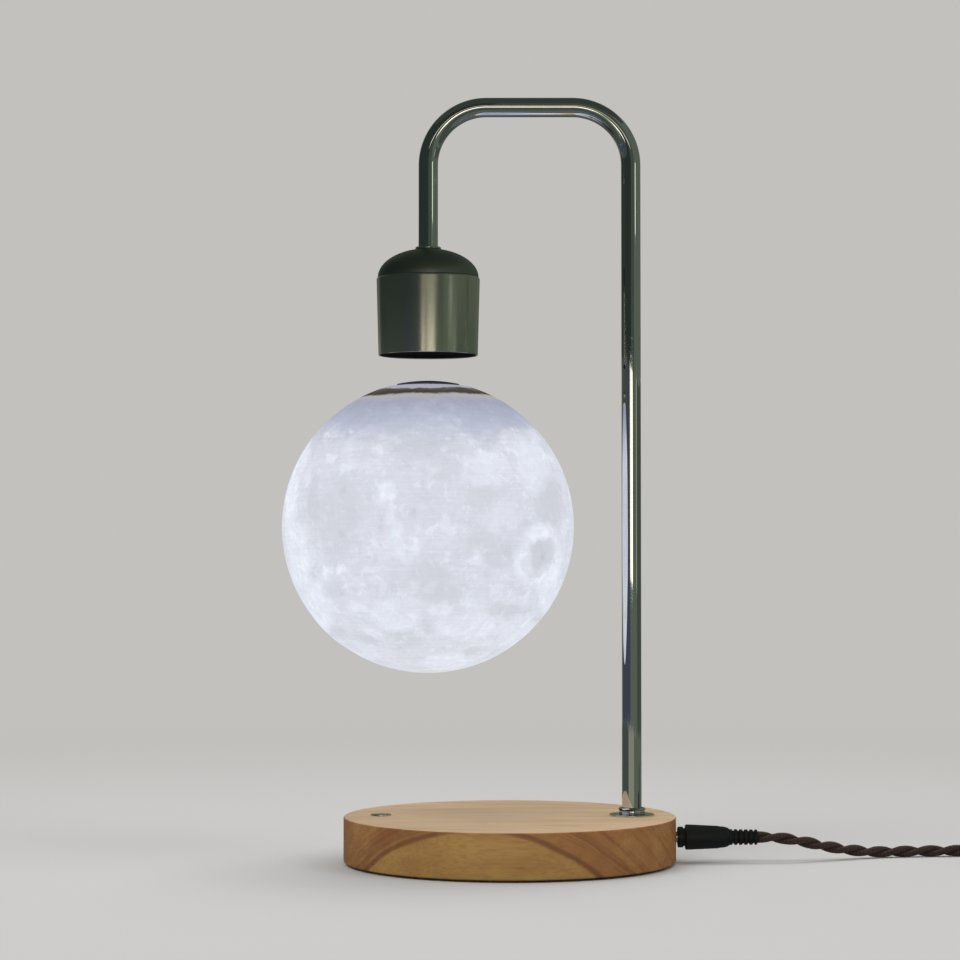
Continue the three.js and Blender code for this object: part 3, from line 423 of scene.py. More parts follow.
# Woven cotton sleeve in two browns, with bias yarns, along the strand's own map
BRAID_YARN = 0.9 * MM
BRAID_TURNS = 6.0
STRAND_RADIUS = 1.5 * MM
STRAND_HALF_WIDTH = 1.8 * MM


def braided_cotton():
    material, tree, shader = new_finish("brown_cotton_braid", Roughness=0.85, Sheen_Weight=0.15)
    own_map = add_node(tree, "ShaderNodeUVMap", uv_map="strand")
    apart = parts_of(tree, own_map.outputs["UV"])
    along, around = apart["X"], apart["Y"]
    weaves = []
    for way in (BRAID_TURNS, -BRAID_TURNS):
        bias = plus(tree, along, times(tree, around, way))
        weaves.append(reckoned(tree, "SINE", times(tree, bias, FULL_TURN)))
    weave = times(tree, weaves[0], weaves[1])
    fuzz = grain(tree, 1500, 3)
    tint = mixed(tree, ranged(tree, weave, -1, 1), "#2f1f1a", "#4a3129")
    tinted(shader, ranged(tree, fuzz, 0.35, 0.7, 0, 0.5), tint, "#1f1310")
    bumped(shader, weave, 0.2 * MM, 0.7)
    return material


# Printed resin of the globe, lit from inside: the tone attribute says how thin the wall is.
# The dark band, a painted shadow of the parts in the neck, and the glow at the neck lean a little to the side
# and to the viewer
MOON_GLOW = 0.9
NECK_LEAN = 0.07
NECK_SIDE_LEAN = 0.0125
NECK_GLOW = 71.6 * MM
NECK_GLOW_BLUR = 0.3 * MM
# Tones of the painted shadow band at the neck, from its lower edge up to the rim
NECK_STOPS = [(0.0, "#7c746e"), (0.16, "#413c36"), (0.34, "#47423b"), (0.6, "#5f5c56"), (0.9, "#74726f")]
WALL_STOPS = [(0.0, "#878da3"), (0.25, "#b6bccd"), (0.45, "#d4d7e1"), (0.6, "#e1e4ee"), (0.8, "#eaf0fc"),
              (1.0, "#f8fcff")]
# Thin-walled rims and rays shine as ragged bright blots, thick floors as grey ones, 2 to 10 mm wide:
# the noise's scale, where a blot starts and is full, and its gain
WALL_BLOTS = [(70, 0.58, 0.605, 0.06), (170, 0.59, 0.615, 0.13), (420, 0.6, 0.625, 0.07),
              (120, 0.42, 0.38, -0.05)]


def wall_speckle(tree, places, mottle, fine):
    """How much lighter or darker the lit wall is from spot to spot."""
    # Print layers are 0.1 mm, drawn 0.8 mm apart so that they show
    layers = grain(tree, 850, 1, stretch=(0.06, 0.06, 1))
    speckle = ranged(tree, mottle, 0.3, 0.7, -0.05, 0.05)
    for pattern, gain in ((fine, 0.045), (layers, 0.035)):
        speckle = plus(tree, speckle, ranged(tree, pattern, 0.3, 0.7, -gain, gain))
    for spread, start, end, gain in WALL_BLOTS:
        blot = grain(tree, spread, 5, 0.6, 0.7, places=places)
        speckle = plus(tree, speckle, ranged(tree, blot, start, end, 0, gain))
    # Wide seas and uplands on the side away from the marks
    seas = ranged(tree, grain(tree, 17, 5, 0.6, 0.5, places=places), 0.42, 0.58, -0.11, 0.06)
    behind = ranged(tree, parts_of(tree, places)["Y"], -10 * MM, 25 * MM)
    return plus(tree, speckle, times(tree, seas, behind))


def neck_colours(tree, colour, mottle):
    """The wall above the lights, with the neck's shadow painted on it: a peach edge, then streaky grey-brown;
    and how strong that painted shadow is.
    """
    dark_level = MOON_CENTRE.z + MOON_LIT_HEIGHT
    glow_level = MOON_CENTRE.z + NECK_GLOW
    along = parts_of(tree, object_places(tree, shift=(-MOON_CENTRE.x, 0, 0)))
    height = minus(tree, along["Z"], times(tree, along["X"], NECK_SIDE_LEAN))
    edge = plus(tree, height, ranged(tree, mottle, 0.3, 0.7, -0.6 * MM, 0.6 * MM))
    peach = ranged(tree, edge, dark_level - 4.6 * MM, dark_level, smooth=True)
    colour = mixed(tree, peach, colour, "#b3acae")
    streak = grain(tree, 90, 4, 0.6, stretch=(1, 1, 3))
    way = ranged(tree, edge, dark_level - 0.6 * MM, RIM_LEVEL, 0, 0.8)
    way = plus(tree, way, ranged(tree, streak, 0.3, 0.7, -0.12, 0.2))
    painted_neck_shadow = ranged(tree, edge, dark_level - 0.7 * MM, dark_level + 0.9 * MM, smooth=True)
    colour = mixed(tree, painted_neck_shadow, colour, ramped(tree, way, NECK_STOPS))
    # Light leaks past the lid on the side that the globe's slight lean turns up
    leaning = minus(tree, edge, times(tree, along["Y"], NECK_LEAN))
    leak = ranged(tree, leaning, glow_level - NECK_GLOW_BLUR, glow_level + NECK_GLOW_BLUR, smooth=True)
    return mixed(tree, leak, colour, "#b0b3c4"), painted_neck_shadow


def lit_moon_resin():
    material, tree, shader = new_finish(
        "lit_printed_resin", Roughness=0.62, IOR=1.46, Emission_Strength=MOON_GLOW)
    tone = add_node(tree, "ShaderNodeAttribute", attribute_name="moon_tone").outputs["Fac"]
    violet = add_node(tree, "ShaderNodeAttribute", attribute_name="moon_violet").outputs["Fac"]
    places = object_places(tree, shift=-MOON_CENTRE)
    mottle = grain(tree, 110, 7, 0.66, 0.3, places=places)
    fine = grain(tree, 520, 5, 0.7, places=places)
    speckle = wall_speckle(tree, places, mottle, fine)
    # The darker the wall, the less of it shows; the bright marks are broken up by it
    calm = times(tree, ranged(tree, tone, 0.22, 0.55, 0.25, 1),
                 ranged(tree, violet, 0.06, 0.2, 1, 0.5))
    value = plus(tree, tone, times(tree, speckle, calm))
    holes = ranged(tree, grain(tree, 230, 4, 0.6, 0.5, places=places), 0.42, 0.56, 0.13, 0)
    value = minus(tree, value, times(tree, holes, ranged(tree, tone, 0.62, 0.82)))
    colour = mixed(tree, violet, ramped(tree, value, WALL_STOPS), "#cfccd0")
    colour, painted_neck_shadow = neck_colours(tree, colour, mottle)
    into(shader, "Emission Color", colour)
    base = mixed(tree, ranged(tree, value, 0.2, 0.9), "#3f424c", "#4d5058")
    # Painted shadow: in the neck band the resin's own colour is turned near black too
    tinted(shader, painted_neck_shadow, base, "#100e0c")
    bumped(shader, fine, 0.25 * MM, 0.4)
    return material


# Modelling, as by hand

def nothing_selected():
    if bpy.context.object and bpy.context.object.mode != "OBJECT":
        bpy.ops.object.mode_set(mode="OBJECT")
    bpy.ops.object.select_all(action="DESELECT")


def picked(piece):
    nothing_selected()
    piece.select_set(True)
    bpy.context.view_layer.objects.active = piece


def all_in_edit_mode():
    bpy.ops.object.mode_set(mode="EDIT")
    bpy.ops.mesh.select_all(action="SELECT")


def newly_named(name):
    """Names the piece that was just added, mesh and all, and settles it."""
    piece = bpy.context.object
    piece.name = piece.data.name = name
    settled(piece)
    return piece


def settled(piece):
    """Moves a piece's place into its mesh, so that its object sits at the origin."""
    picked(piece)
    bpy.ops.object.transform_apply(location=True, rotation=True, scale=True)


def apply_modifier(piece, kind, **settings):
    bpy.context.view_layer.objects.active = piece
    modifier = piece.modifiers.new(kind.lower(), kind)
    for name, value in settings.items():
        setattr(modifier, name, value)
    bpy.ops.object.modifier_apply(modifier=modifier.name)


def eased(piece, width, segments, angle):
    apply_modifier(piece, "BEVEL", width=width, segments=segments, limit_method="ANGLE",
                   angle_limit=math.radians(angle))


def cut_away(piece, *cutters):
    for cutter in cutters:
        apply_modifier(piece, "BOOLEAN", operation="DIFFERENCE", object=cutter, solver="EXACT")
        bpy.data.objects.remove(cutter)


def smoothed(piece, angle=SMOOTH_ANGLE):
    picked(piece)
    bpy.ops.object.shade_smooth_by_angle(angle=angle)


def closed_up():
    """In edit mode: merges doubles and turns the faces outwards."""
    bpy.ops.mesh.select_all(action="SELECT")
    bpy.ops.mesh.remove_doubles(threshold=JOIN_DISTANCE)
    bpy.ops.mesh.normals_make_consistent(inside=False)


def drawn(way):
    """In edit mode: draws what is selected out by a way."""
    bpy.ops.mesh.extrude_region_move(TRANSFORM_OT_translate={"value": way})


def turned(name, profile, centre, axis=Z_AXIS, steps=MEDIUM_STEPS):
    """Lathe work: (radius, distance along the axis) points drawn from one corner, then spun round."""
    out = X_AXIS if axis == Z_AXIS else Z_AXIS
    points = [Vector(centre) + out * radius + axis * way for radius, way in profile]
    nothing_selected()
    bpy.ops.mesh.primitive_plane_add(size=MM, location=points[0])
    piece = newly_named(name)
    all_in_edit_mode()
    bpy.ops.mesh.merge(type="CENTER")
    for here, there in zip(points, points[1:]):
        drawn(there - here)
    bpy.ops.mesh.select_all(action="SELECT")
    bpy.ops.mesh.spin(steps=steps, angle=FULL_TURN, center=centre, axis=axis)
    closed_up()
    bpy.ops.object.mode_set(mode="OBJECT")
    return piece


def arc_points(centre_radius, centre_way, radius, from_angle, to_angle, steps, rise=None):
    """Points of an arc in a profile; rise makes it an ellipse."""
    points = []
    for i in range(steps + 1):
        angle = math.radians(from_angle + (to_angle - from_angle) * i / steps)
        points.append((centre_radius + radius * math.cos(angle),
                       centre_way + (rise or radius) * math.sin(angle)))
    return points


def low_corner(radius, level, edge, steps):
    """Rounded outer corner at the lower end of a profile."""
    return arc_points(radius - edge, level + edge, edge, -90, 0, steps)


def high_corner(radius, level, edge, steps):
    """Rounded outer corner at the upper end of a profile."""
    return arc_points(radius - edge, level - edge, edge, 0, 90, steps)


def drum(radius, start, end, turn=UPRIGHT, vertices=SMALL_STEPS):
    """Plain round cutter from one point to another along an axis."""
    start, end = Vector(start), Vector(end)
    nothing_selected()
    bpy.ops.mesh.primitive_cylinder_add(vertices=vertices, radius=radius, depth=(end - start).length,
                                        location=(start + end) / 2, rotation=turn)
    settled(bpy.context.object)
    return bpy.context.object


def block(name, low, high):
    """Box between two corners."""
    nothing_selected()
    low, high = Vector(low), Vector(high)
    bpy.ops.mesh.primitive_cube_add(size=1, location=(low + high) / 2, scale=high - low)
    return newly_named(name)


def dress(piece, finish, body, slot, *nodes):
    """Gives a finished piece its material and body, and hides the CAD nodes that it stands for; slot is not
    used.
    """
    piece.data.materials.clear()
    piece.data.materials.append(finish)
    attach(piece, body)
    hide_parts(*nodes)
    return piece


def round_piece(node, profile, finish, slot, body="stand", name=None, axis=Z_AXIS,
                steps=MEDIUM_STEPS):
    """Turned, smoothed and dressed piece in the place and on the axis of a CAD node."""
    middle = node_middle(node)
    centre = (middle.x, middle.y, 0) if axis == Z_AXIS else (0, middle.y, middle.z)
    piece = turned(name or f"{node}_fine", profile, centre, axis, steps)
    smoothed(piece)
    return dress(piece, finish, body, slot, node)


def copied(piece, name, way):
    """A copy with its own mesh, moved by a way."""
    copy = bpy.data.objects.new(name, piece.data.copy())
    bpy.context.scene.collection.objects.link(copy)
    copy.data.transform(Matrix.Translation(way))
    return copy


# Wooden base with its pad, cover screws, button and socket

BASE_WALL = 13 * MM
BASE_ROOF = 8 * MM
COVER_LEDGE = 4 * MM
BASE_EDGE = 0.9 * MM
TUBE_RADIUS = 5 * MM
STEM_RADIUS = 2 * MM
FIT = 0.3 * MM
TUBE_HOLE = TUBE_RADIUS + FIT


def wooden_base(finish):
    radius, bottom, top = round_node("wooden_base")
    pocket = radius - BASE_WALL
    ledge = pocket + COVER_LEDGE
    roof = top - BASE_ROOF
    cover_top = node_span("base_cover", 2)[1]
    profile = [
        (0, roof), (pocket, roof), (pocket, cover_top), (ledge, cover_top), (ledge, bottom),
        *low_corner(radius, bottom, BASE_EDGE, 4), *high_corner(radius, top, BASE_EDGE, 4), (0, top)]
    piece = turned("turned_wooden_base", profile, (0, 0, 0), steps=LARGE_STEPS)
    foot_x = node_span("arched_tube", 0)[1] - TUBE_RADIUS
    button_x, spring_x = node_middle("touch_button").x, node_middle("touch_spring").x
    jack_z = node_middle("power_jack").z
    below, above = roof - BASE_ROOF, top + BASE_ROOF
    inside, outside = pocket - BASE_ROOF, radius + BASE_ROOF
    cut_away(
        piece,
        drum(TUBE_HOLE, (foot_x, 0, below), (foot_x, 0, above)),
        drum(STEM_RADIUS + FIT, (spring_x, 0, below), (button_x, 0, above)),
        drum(round_node("power_jack", 0)[0] + FIT, (inside, 0, jack_z), (outside, 0, jack_z), ALONG_X),
    )
    smoothed(piece)
    return dress(piece, finish, "stand", "oiled_wood", "wooden_base")


SCREW_ACCESS_RADIUS = 5 * MM


def base_pad(finish):
    radius, low, high = round_node("base_pad")
    edge = 0.4 * MM
    profile = [(0, low), *low_corner(radius, low, edge, 3), *high_corner(radius, high, edge, 3), (0, high)]
    piece = turned("round_foam_pad", profile, (0, 0, 0), steps=LARGE_STEPS)
    for i in (1, 2, 3, 4):
        x, y, _ = node_middle(f"cover_screw_{i}")
        cut_away(piece, drum(SCREW_ACCESS_RADIUS, (x, y, low - MM), (x, y, high + MM)))
    smoothed(piece)
    dress(piece, finish, "stand", "foam_pad", "base_pad")
    return piece


SCREW_SHANK_RADIUS = 1.5 * MM
SCREW_ROOT_SHARE = 0.8
SCREW_THREAD_PITCH = 1.2 * MM
SCREW_THREAD_START = 3.2 * MM
SCREW_THREAD_END = 3 * MM
SCREW_POINT = 2 * MM
SCREW_HEAD_DEPTH = 1.6 * MM
SCREW_RECESS_WIDTH = 0.8 * MM
SCREW_RECESS_DEPTH = 1.1 * MM
SCREW_RECESS_SHARE = 0.55


def cover_screws(finish):
    """Countersunk screw with a cross recess, modelled once and copied to the four places."""
    head, low, high = round_node("cover_screw_1")
    ease = 0.2 * MM
    root = SCREW_SHANK_RADIUS * SCREW_ROOT_SHARE
    place = node_middle("cover_screw_1")
    thread = []
    way = low + SCREW_THREAD_START
    while way < high - SCREW_THREAD_END:
        thread += [(root, way), (SCREW_SHANK_RADIUS, way + SCREW_THREAD_PITCH / 2)]
        way += SCREW_THREAD_PITCH
    profile = [(0, low), (head - ease, low), (head, low + ease),
               (SCREW_SHANK_RADIUS, low + SCREW_HEAD_DEPTH), *thread, (root, high - SCREW_POINT), (0, high)]
    first = turned("cover_screw_1_fine", profile, (place.x, place.y, 0), steps=32)
    long, narrow = head * SCREW_RECESS_SHARE, SCREW_RECESS_WIDTH / 2
    for x, y in ((long, narrow), (narrow, long)):
        cut_away(first, block("recess", (place.x - x, place.y - y, low - MM),
                              (place.x + x, place.y + y, low + SCREW_RECESS_DEPTH)))
    smoothed(first)
    for i in (1, 2, 3, 4):
        node = f"cover_screw_{i}"
        piece = first if i == 1 else copied(first, f"{node}_fine", node_middle(node) - place)
        dress(piece, finish, "stand", "zinc_steel", node)


def touch_button(finish):
    """Flat button on its stem, with a rolled rim, a fine groove inside it and a low crown."""
    radius, low, high = round_node("touch_button")
    base_top = node_span("wooden_base", 2)[1]
    rim, ease, fine = 0.35 * MM, 0.2 * MM, 0.1 * MM
    rim_top = high - 0.3 * MM
    profile = [
        (0, low), (STEM_RADIUS - ease, low), (STEM_RADIUS, low + ease), (STEM_RADIUS, base_top),
        (radius - fine, base_top), (radius, base_top + fine), *high_corner(radius, rim_top, rim, 5),
        (radius - 0.9 * MM, rim_top), (radius - 1.1 * MM, rim_top - fine),
        (radius * 0.7, high - ease), (radius * 0.35, high - 0.05 * MM), (0, high)]
    return round_piece("touch_button", profile, finish, "chrome")


def power_socket(finish):
    radius, start, end = round_node("power_jack", 0)
    bore = node_span("plug_barrel", 1)[1] + FIT
    floor = node_span("plug_barrel", 0)[0] - FIT
    pin, pin_end = 0.95 * MM, floor + 5 * MM
    lip = 0.4 * MM
    profile = [
        (0, start), (radius, start), (radius, end - lip), (radius - lip, end), (bore + lip, end),
        (bore, end - lip), (bore, floor), (pin, floor), (pin, pin_end - pin / 2), (pin / 2, pin_end),
        (0, pin_end)]
    return round_piece("power_jack", profile, finish, "black_plastic", name="power_socket_fine",
                       axis=X_AXIS, steps=SMALL_STEPS)


# Arched tube and its fittings

BEND_RADIUS = 30 * MM
TUBE_WALL = 1 * MM
BEND_STEPS = 28
TUBE_PAST_NUT = 2.5 * MM


def bent(centre_x, level):
    """In edit mode: turns what is selected a quarter round a line along Y."""
    bpy.ops.mesh.spin(steps=BEND_STEPS, angle=math.pi / 2, axis=Y_AXIS, center=(centre_x, 0, level))


def arched_tube(finish):
    """A ring at the foot, drawn up, bent, drawn across, bent and drawn down to the head."""
    low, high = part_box("arched_tube")
    foot_x, head_x = high.x - TUBE_RADIUS, low.x + TUBE_RADIUS
    spring_line = high.z - TUBE_RADIUS - BEND_RADIUS
    head_end = node_span("head_nut", 2)[0] - TUBE_PAST_NUT
    nothing_selected()
    bpy.ops.mesh.primitive_circle_add(vertices=SMALL_STEPS, radius=TUBE_RADIUS,
                                      location=(foot_x, 0, low.z))
    piece = newly_named("arched_tube_fine")
    all_in_edit_mode()
    drawn((0, 0, spring_line - low.z))
    bent(foot_x - BEND_RADIUS, spring_line)
    drawn((head_x - foot_x + 2 * BEND_RADIUS, 0, 0))
    bent(head_x + BEND_RADIUS, spring_line)
    drawn((0, 0, head_end - spring_line))
    closed_up()
    bpy.ops.object.mode_set(mode="OBJECT")
    apply_modifier(piece, "SOLIDIFY", thickness=TUBE_WALL, offset=-1, use_rim=True)
    smoothed(piece)
    return dress(piece, finish, "stand", "chrome", "arched_tube")


def tube_ring(node, outline, finish):
    """Chrome ring round the tube, from its outer outline."""
    low, high = node_span(node, 2)
    profile = [(TUBE_HOLE, low), *outline, (TUBE_HOLE, high), (TUBE_HOLE, low)]
    return round_piece(node, profile, finish, "chrome")


def foot_washer(finish):
    radius, low, high = round_node("foot_washer")
    edge = 0.3 * MM
    outline = [*low_corner(radius, low, edge, 3), *high_corner(radius, high, edge, 4)]
    return tube_ring("foot_washer", outline, finish)


def foot_collar(finish):
    """Low rounded collar with a bead at its foot and a shallow groove under the top ring."""
    radius, low, high = round_node("foot_collar")
    bead, shoulder = 0.55 * MM, 1.2 * MM
    waist = radius - 0.35 * MM
    outline = [
        (radius - bead, low), *arc_points(radius - bead, low + bead, bead, -90, 60, 6),
        (waist, low + (high - low) * 0.42), (waist, low + (high - low) * 0.52),
        *arc_points(radius - shoulder, high - shoulder, shoulder - 0.05 * MM, 10, 90, 7)]
    return tube_ring("foot_collar", outline, finish)


def tube_rosette(finish):
    radius, low, high = round_node("tube_rosette")
    bead = (high - low) / 2
    outline = arc_points(radius - bead, low + bead, bead, -90, 90, 8)
    return tube_ring("tube_rosette", outline, finish)


# Head: spun cup, domed cap and black cover

HEAD_WALL = 0.9 * MM
DOME_WALL = 1 * MM
DOME_INSET = 0.6 * MM
DOME_SKIRT = 6 * MM
CUP_EDGE = 1.2 * MM
CUP_TAPER = 1 * MM
COVER_LIP = 0.7 * MM
FLANGE = 0.3 * MM
NUT_ROOM = 9 * MM


def head_shell(finish):
    top_radius, low, high = round_node("head_shell")
    bottom_radius = top_radius - CUP_TAPER
    bottom = low + FLANGE
    lip = 0.25 * MM
    profile = [
        (bottom_radius - HEAD_WALL, bottom), (bottom_radius - lip, bottom - FIT),
        (bottom_radius, bottom - FIT + lip), *high_corner(top_radius, high, CUP_EDGE, 5),
        (top_radius - HEAD_WALL, high), (top_radius - HEAD_WALL, high - MM),
        (bottom_radius - HEAD_WALL, bottom)]
    return round_piece("head_shell", profile, finish, "brushed_nickel", steps=LARGE_STEPS)


def head_dome(finish):
    """Hollow domed cap: its skirt sits in the cup, and the rosette on its flat top."""
    cup_radius, _, cup_top = round_node("head_shell")
    rosette_radius, seat, _ = round_node("tube_rosette")
    radius = cup_radius - DOME_INSET
    seat_angle = math.acos(rosette_radius / radius)
    rise = (seat - cup_top) / math.sin(seat_angle)
    skirt, skirt_end = cup_radius - HEAD_WALL - FIT, cup_top - DOME_SKIRT
    inner = radius - DOME_WALL - FIT
    inner_angle = math.degrees(math.acos(NUT_ROOM / inner)) - 2
    nut_top = node_span("head_nut", 2)[1]
    ease = 0.15 * MM
    profile = [
        (skirt - DOME_WALL, skirt_end), (skirt, skirt_end), (skirt, cup_top),
        (radius - ease, cup_top), (radius, cup_top + ease),
        *arc_points(0, cup_top, radius, 2, math.degrees(seat_angle), 22, rise),
        (TUBE_HOLE, seat), (TUBE_HOLE, nut_top), (NUT_ROOM, nut_top),
        *arc_points(0, cup_top, inner, inner_angle, 0, 12, rise - DOME_WALL),
        (skirt - DOME_WALL, skirt_end)]
    return round_piece("head_dome", profile, finish, "brushed_nickel", steps=LARGE_STEPS)


def head_cover(finish):
    """Flat cover pressed into the cup, with a thin flange under the cup's edge."""
    radius, low, high = round_node("head_cover")
    flange = round_node("head_shell")[0] - CUP_TAPER - COVER_LIP
    wall, ease = 1.6 * MM, 0.1 * MM
    profile = [
        (0, low + ease), (radius * 0.45, low + ease), (radius * 0.46, low), (flange - ease, low),
        (flange, low + ease), (flange, low + FLANGE), (radius, low + FLANGE), (radius, high),
        (radius - wall, high), (radius - wall, low + wall), (0, low + wall)]
    return round_piece("head_cover", profile, finish, "black_plastic", steps=LARGE_STEPS)


# Globe, holder and magnet cap

MOON_RADIUS = 75 * MM
MOON_WALL = 2 * MM
MOON_OPENING = 21.5 * MM
MOON_SEGMENTS, MOON_RINGS = 420, 210
MOON_LIT_HEIGHT = 66.6 * MM
MOON_INNER_SEGMENTS, MOON_INNER_RINGS = 96, 48
CRATER_DEPTH = 0.6 * MM
LOWLAND_DEPTH = 0.2 * MM
SPECK_DEPTH = 5 * MM     # times a speck's size as a share of the globe's radius
HOLDER_WALL = 1.3 * MM
LID_EDGE = 0.15 * MM
LID_FALL = 0.5 * MM
CAP_SKIRT = 0.25 * MM
CAP_STEPS = 14
RIM_HEIGHT = math.sqrt(MOON_RADIUS ** 2 - MOON_OPENING ** 2)
RIM_LEVEL = node_span("magnet_cap", 2)[0] - HOLDER_WALL
MOON_CENTRE = Vector((node_middle("magnet_cap").x, 0, RIM_LEVEL - RIM_HEIGHT))

# Lunar places: longitude from +X and latitude in degrees, and the radius as a share of the globe's
CRATERS = [
    (-39, -12, .135), (-118, 31, .14), (-74, -38, .13), (-60, 22, .09), (-142, -17, .12), (-98, -8, .08),
    (-20, 34, .12), (-128, -52, .15), (-52, -58, .12), (-160, 12, .1), (-84, 52, .11), (12, -34, .14),
    (24, 8, .15), (52, -28, .17), (78, 30, .13), (104, -6, .16), (138, 36, .14), (150, -30, .15),
    (118, -58, .13), (38, 50, .12), (172, -4, .1), (70, -62, .14), (166, 46, .13), (-165, -46, .12),
]
LOWLANDS = [
    (-100, 18, .42), (-62, 2, .36), (-132, 2, .34), (-88, -28, .3), (-30, 12, .28),
    (96, 24, .3), (150, 6, .26),
]


def lunar_place(longitude, latitude):
    east, north = math.radians(longitude), math.radians(latitude)
    return np.array([math.cos(north) * math.cos(east), math.cos(north) * math.sin(east), math.sin(north)])


def smooth_step(value, low, high):
    share = np.clip((value - low) / (high - low), 0, 1)
    return share * share * (3 - 2 * share)


def reach_of(directions, place, size):
    """How far unit vectors lie from a place on the globe, in the size of the form there."""
    return np.linalg.norm(directions - place, axis=1) / size


def rim_of(reach, width):
    """Soft ridge round a form's edge."""
    return np.exp(-((reach - 1) / width) ** 2)


# The globe in the photograph, in its pixels: middle, radius, and the marks that stand out on it
MOON_PIXEL_X, MOON_PIXEL_Y, MOON_PIXEL_RADIUS = 427.35, 527.4, 146
# Each kind: tone added, violet added, and its marks as x, y, half width, half height, and lean if any
MOON_MARKS = {
    "crater_collar": (0.18, 0, [(539, 558, 22, 27), (538, 533, 16, 8), (521, 566, 9, 16)]),
    "crater_floor": (-0.3, 0.16, [(536.5, 559, 16, 20, 0.28)]),
    "grey_patch": (-0.08, 0.14, [
        (547, 503, 14, 25), (504, 608, 17, 7), (350, 640, 24, 16), (318, 500, 6, 30),
        (471, 650, 9, 5), (378, 459, 4.5, 4)]),
    "faint_patch": (-0.05, 0.08, [
        (483, 502, 15, 13), (526, 528, 5, 7), (507, 553, 4, 5), (498, 558, 18, 10), (481, 542, 18, 8),
        (338, 587, 13, 10), (345, 520, 22, 40), (430, 575, 20, 20), (448, 596, 18, 12),
        (400, 640, 30, 10), (450, 475, 26, 10), (430, 455, 30, 12), (395, 585, 3, 3)]),
    "dim_country": (-0.05, 0, [(494, 434, 30, 18), (366, 430, 30, 16)]),
    "ray_head": (0.3, 0, [(391, 495, 9, 9)]),
    "ray": (0.16, 0, [
        (384, 505, 6, 9), (395, 515, 4, 14), (400, 535, 4, 12), (404, 550, 4, 9), (447, 525, 5, 8),
        (452, 533, 4, 4), (381, 455, 7, 5)]),
    "bright_spot": (0.2, 0, [
        (446, 455, 3.5, 3), (475, 561, 9, 5), (442, 608, 10, 7), (333, 462, 4, 6), (329, 438, 3, 3),
        (355, 436, 3, 3), (347, 570, 7, 3), (330, 572, 6, 3), (375, 570, 8, 3), (360, 606, 8, 4),
        (366, 585, 3, 3)]),
    "bright_limb": (0.23, 0, [(293, 500, 7, 46), (303, 560, 12, 34), (300, 450, 12, 26), (318, 610, 18, 26)]),
    "pale_country": (0.16, 0, [
        (520, 444, 22, 14), (532, 470, 18, 20), (535, 490, 8, 8), (345, 655, 30, 18), (400, 612, 26, 16),
        (548, 590, 12, 26), (520, 640, 22, 22), (445, 660, 26, 8)]),
    "faint_country": (0.1, 0, [
        (337, 437, 12, 5), (432, 588, 8, 6), (500, 520, 20, 16), (470, 625, 34, 12), (484, 474, 24, 18)]),
}
MOON_SPECKS = 420
MOON_SEED = 11
MEAN_TONE = 0.56
FRAYS = ((7, 0.02), (25, 0.022))


def scattered_spots():
    """Small craters and bright ejecta spots all over the globe: place, size and tone."""
    chance = random.Random(MOON_SEED)
    for _ in range(MOON_SPECKS):
        up = chance.uniform(-0.98, 0.93)
        east = chance.uniform(0, FULL_TURN)
        out = math.sqrt(1 - up * up)
        size = 0.012 + 0.034 * chance.random() ** 3
        bright = chance.random() < 0.55
        tone = chance.uniform(0.04, 0.16) if bright else -chance.uniform(0.03, 0.1)
        yield np.array([out * math.cos(east), out * math.sin(east), up]), size, tone


def spots_near(directions):
    """For each small spot: the vectors near it, how far off they lie, its size and its tone."""
    for place, size, tone in scattered_spots():
        near = np.abs(directions - place).max(axis=1) < size * 1.8
        yield near, reach_of(directions[near], place, size), size, tone


def moon_relief(directions):
    """Height over the mean globe for unit vectors: lowlands, bowls with rims, and small pits."""
    height = np.zeros(len(directions))
    for east, north, share in LOWLANDS:
        reach = reach_of(directions, lunar_place(east, north), share)
        height -= LOWLAND_DEPTH * (1 - smooth_step(reach, 0.7, 1.15))
    for east, north, share in CRATERS:
        reach = reach_of(directions, lunar_place(east, north), share)
        bowl = -np.maximum(0, 1 - reach ** 2)
        height += CRATER_DEPTH * (bowl + 0.35 * rim_of(reach, 0.3)) * min(1, share / 0.12)
    for near, reach, size, _ in spots_near(directions):
        pit = -np.maximum(0, 1 - reach ** 2) + 0.5 * rim_of(reach, 0.35)
        height[near] += SPECK_DEPTH * size * pit
    return height


def frayed(directions):
    """Unit vectors moved a little by coarse and fine noise, so that marks get natural edges."""
    return directions + np.array([
        sum((noise.noise_vector(Vector(d) * density) * reach for density, reach in FRAYS), Vector())
        for d in directions])


def moon_tones(directions):
    """Brightness and violet tint of the lit wall for unit vectors."""
    directions = frayed(directions)
    tone = np.full(len(directions), MEAN_TONE)
    violet = np.zeros(len(directions))
    for east, north, share in LOWLANDS:
        low = 1 - smooth_step(reach_of(directions, lunar_place(east, north), share), 0.55, 1.25)
        tone -= 0.03 * low
        violet += 0.08 * low
    for east, north, share in CRATERS:
        reach = reach_of(directions, lunar_place(east, north), share)
        tone += 0.08 * rim_of(reach, 0.3)
        if not -170 < east < -10:
            tone -= 0.09 * (1 - smooth_step(reach, 0.4, 1.1))
    for near, reach, _, change in spots_near(directions):
        tone[near] += change * (1 - smooth_step(reach, 0.4, 1.2))
    for change, tint, marks in MOON_MARKS.values():
        for mark in marks:
            share = mark_share(directions, *mark)
            tone += change * share
            violet += tint * share
    # The wall is dimmer near the neck, far from the lights' way
    high = smooth_step(directions[:, 2], 0.36, 0.95)
    tone = MEAN_TONE + (tone - MEAN_TONE) * (1 - 0.7 * high) - 0.5 * high
    return np.clip(tone, 0.02, 1), np.clip(violet, 0, 0.8)


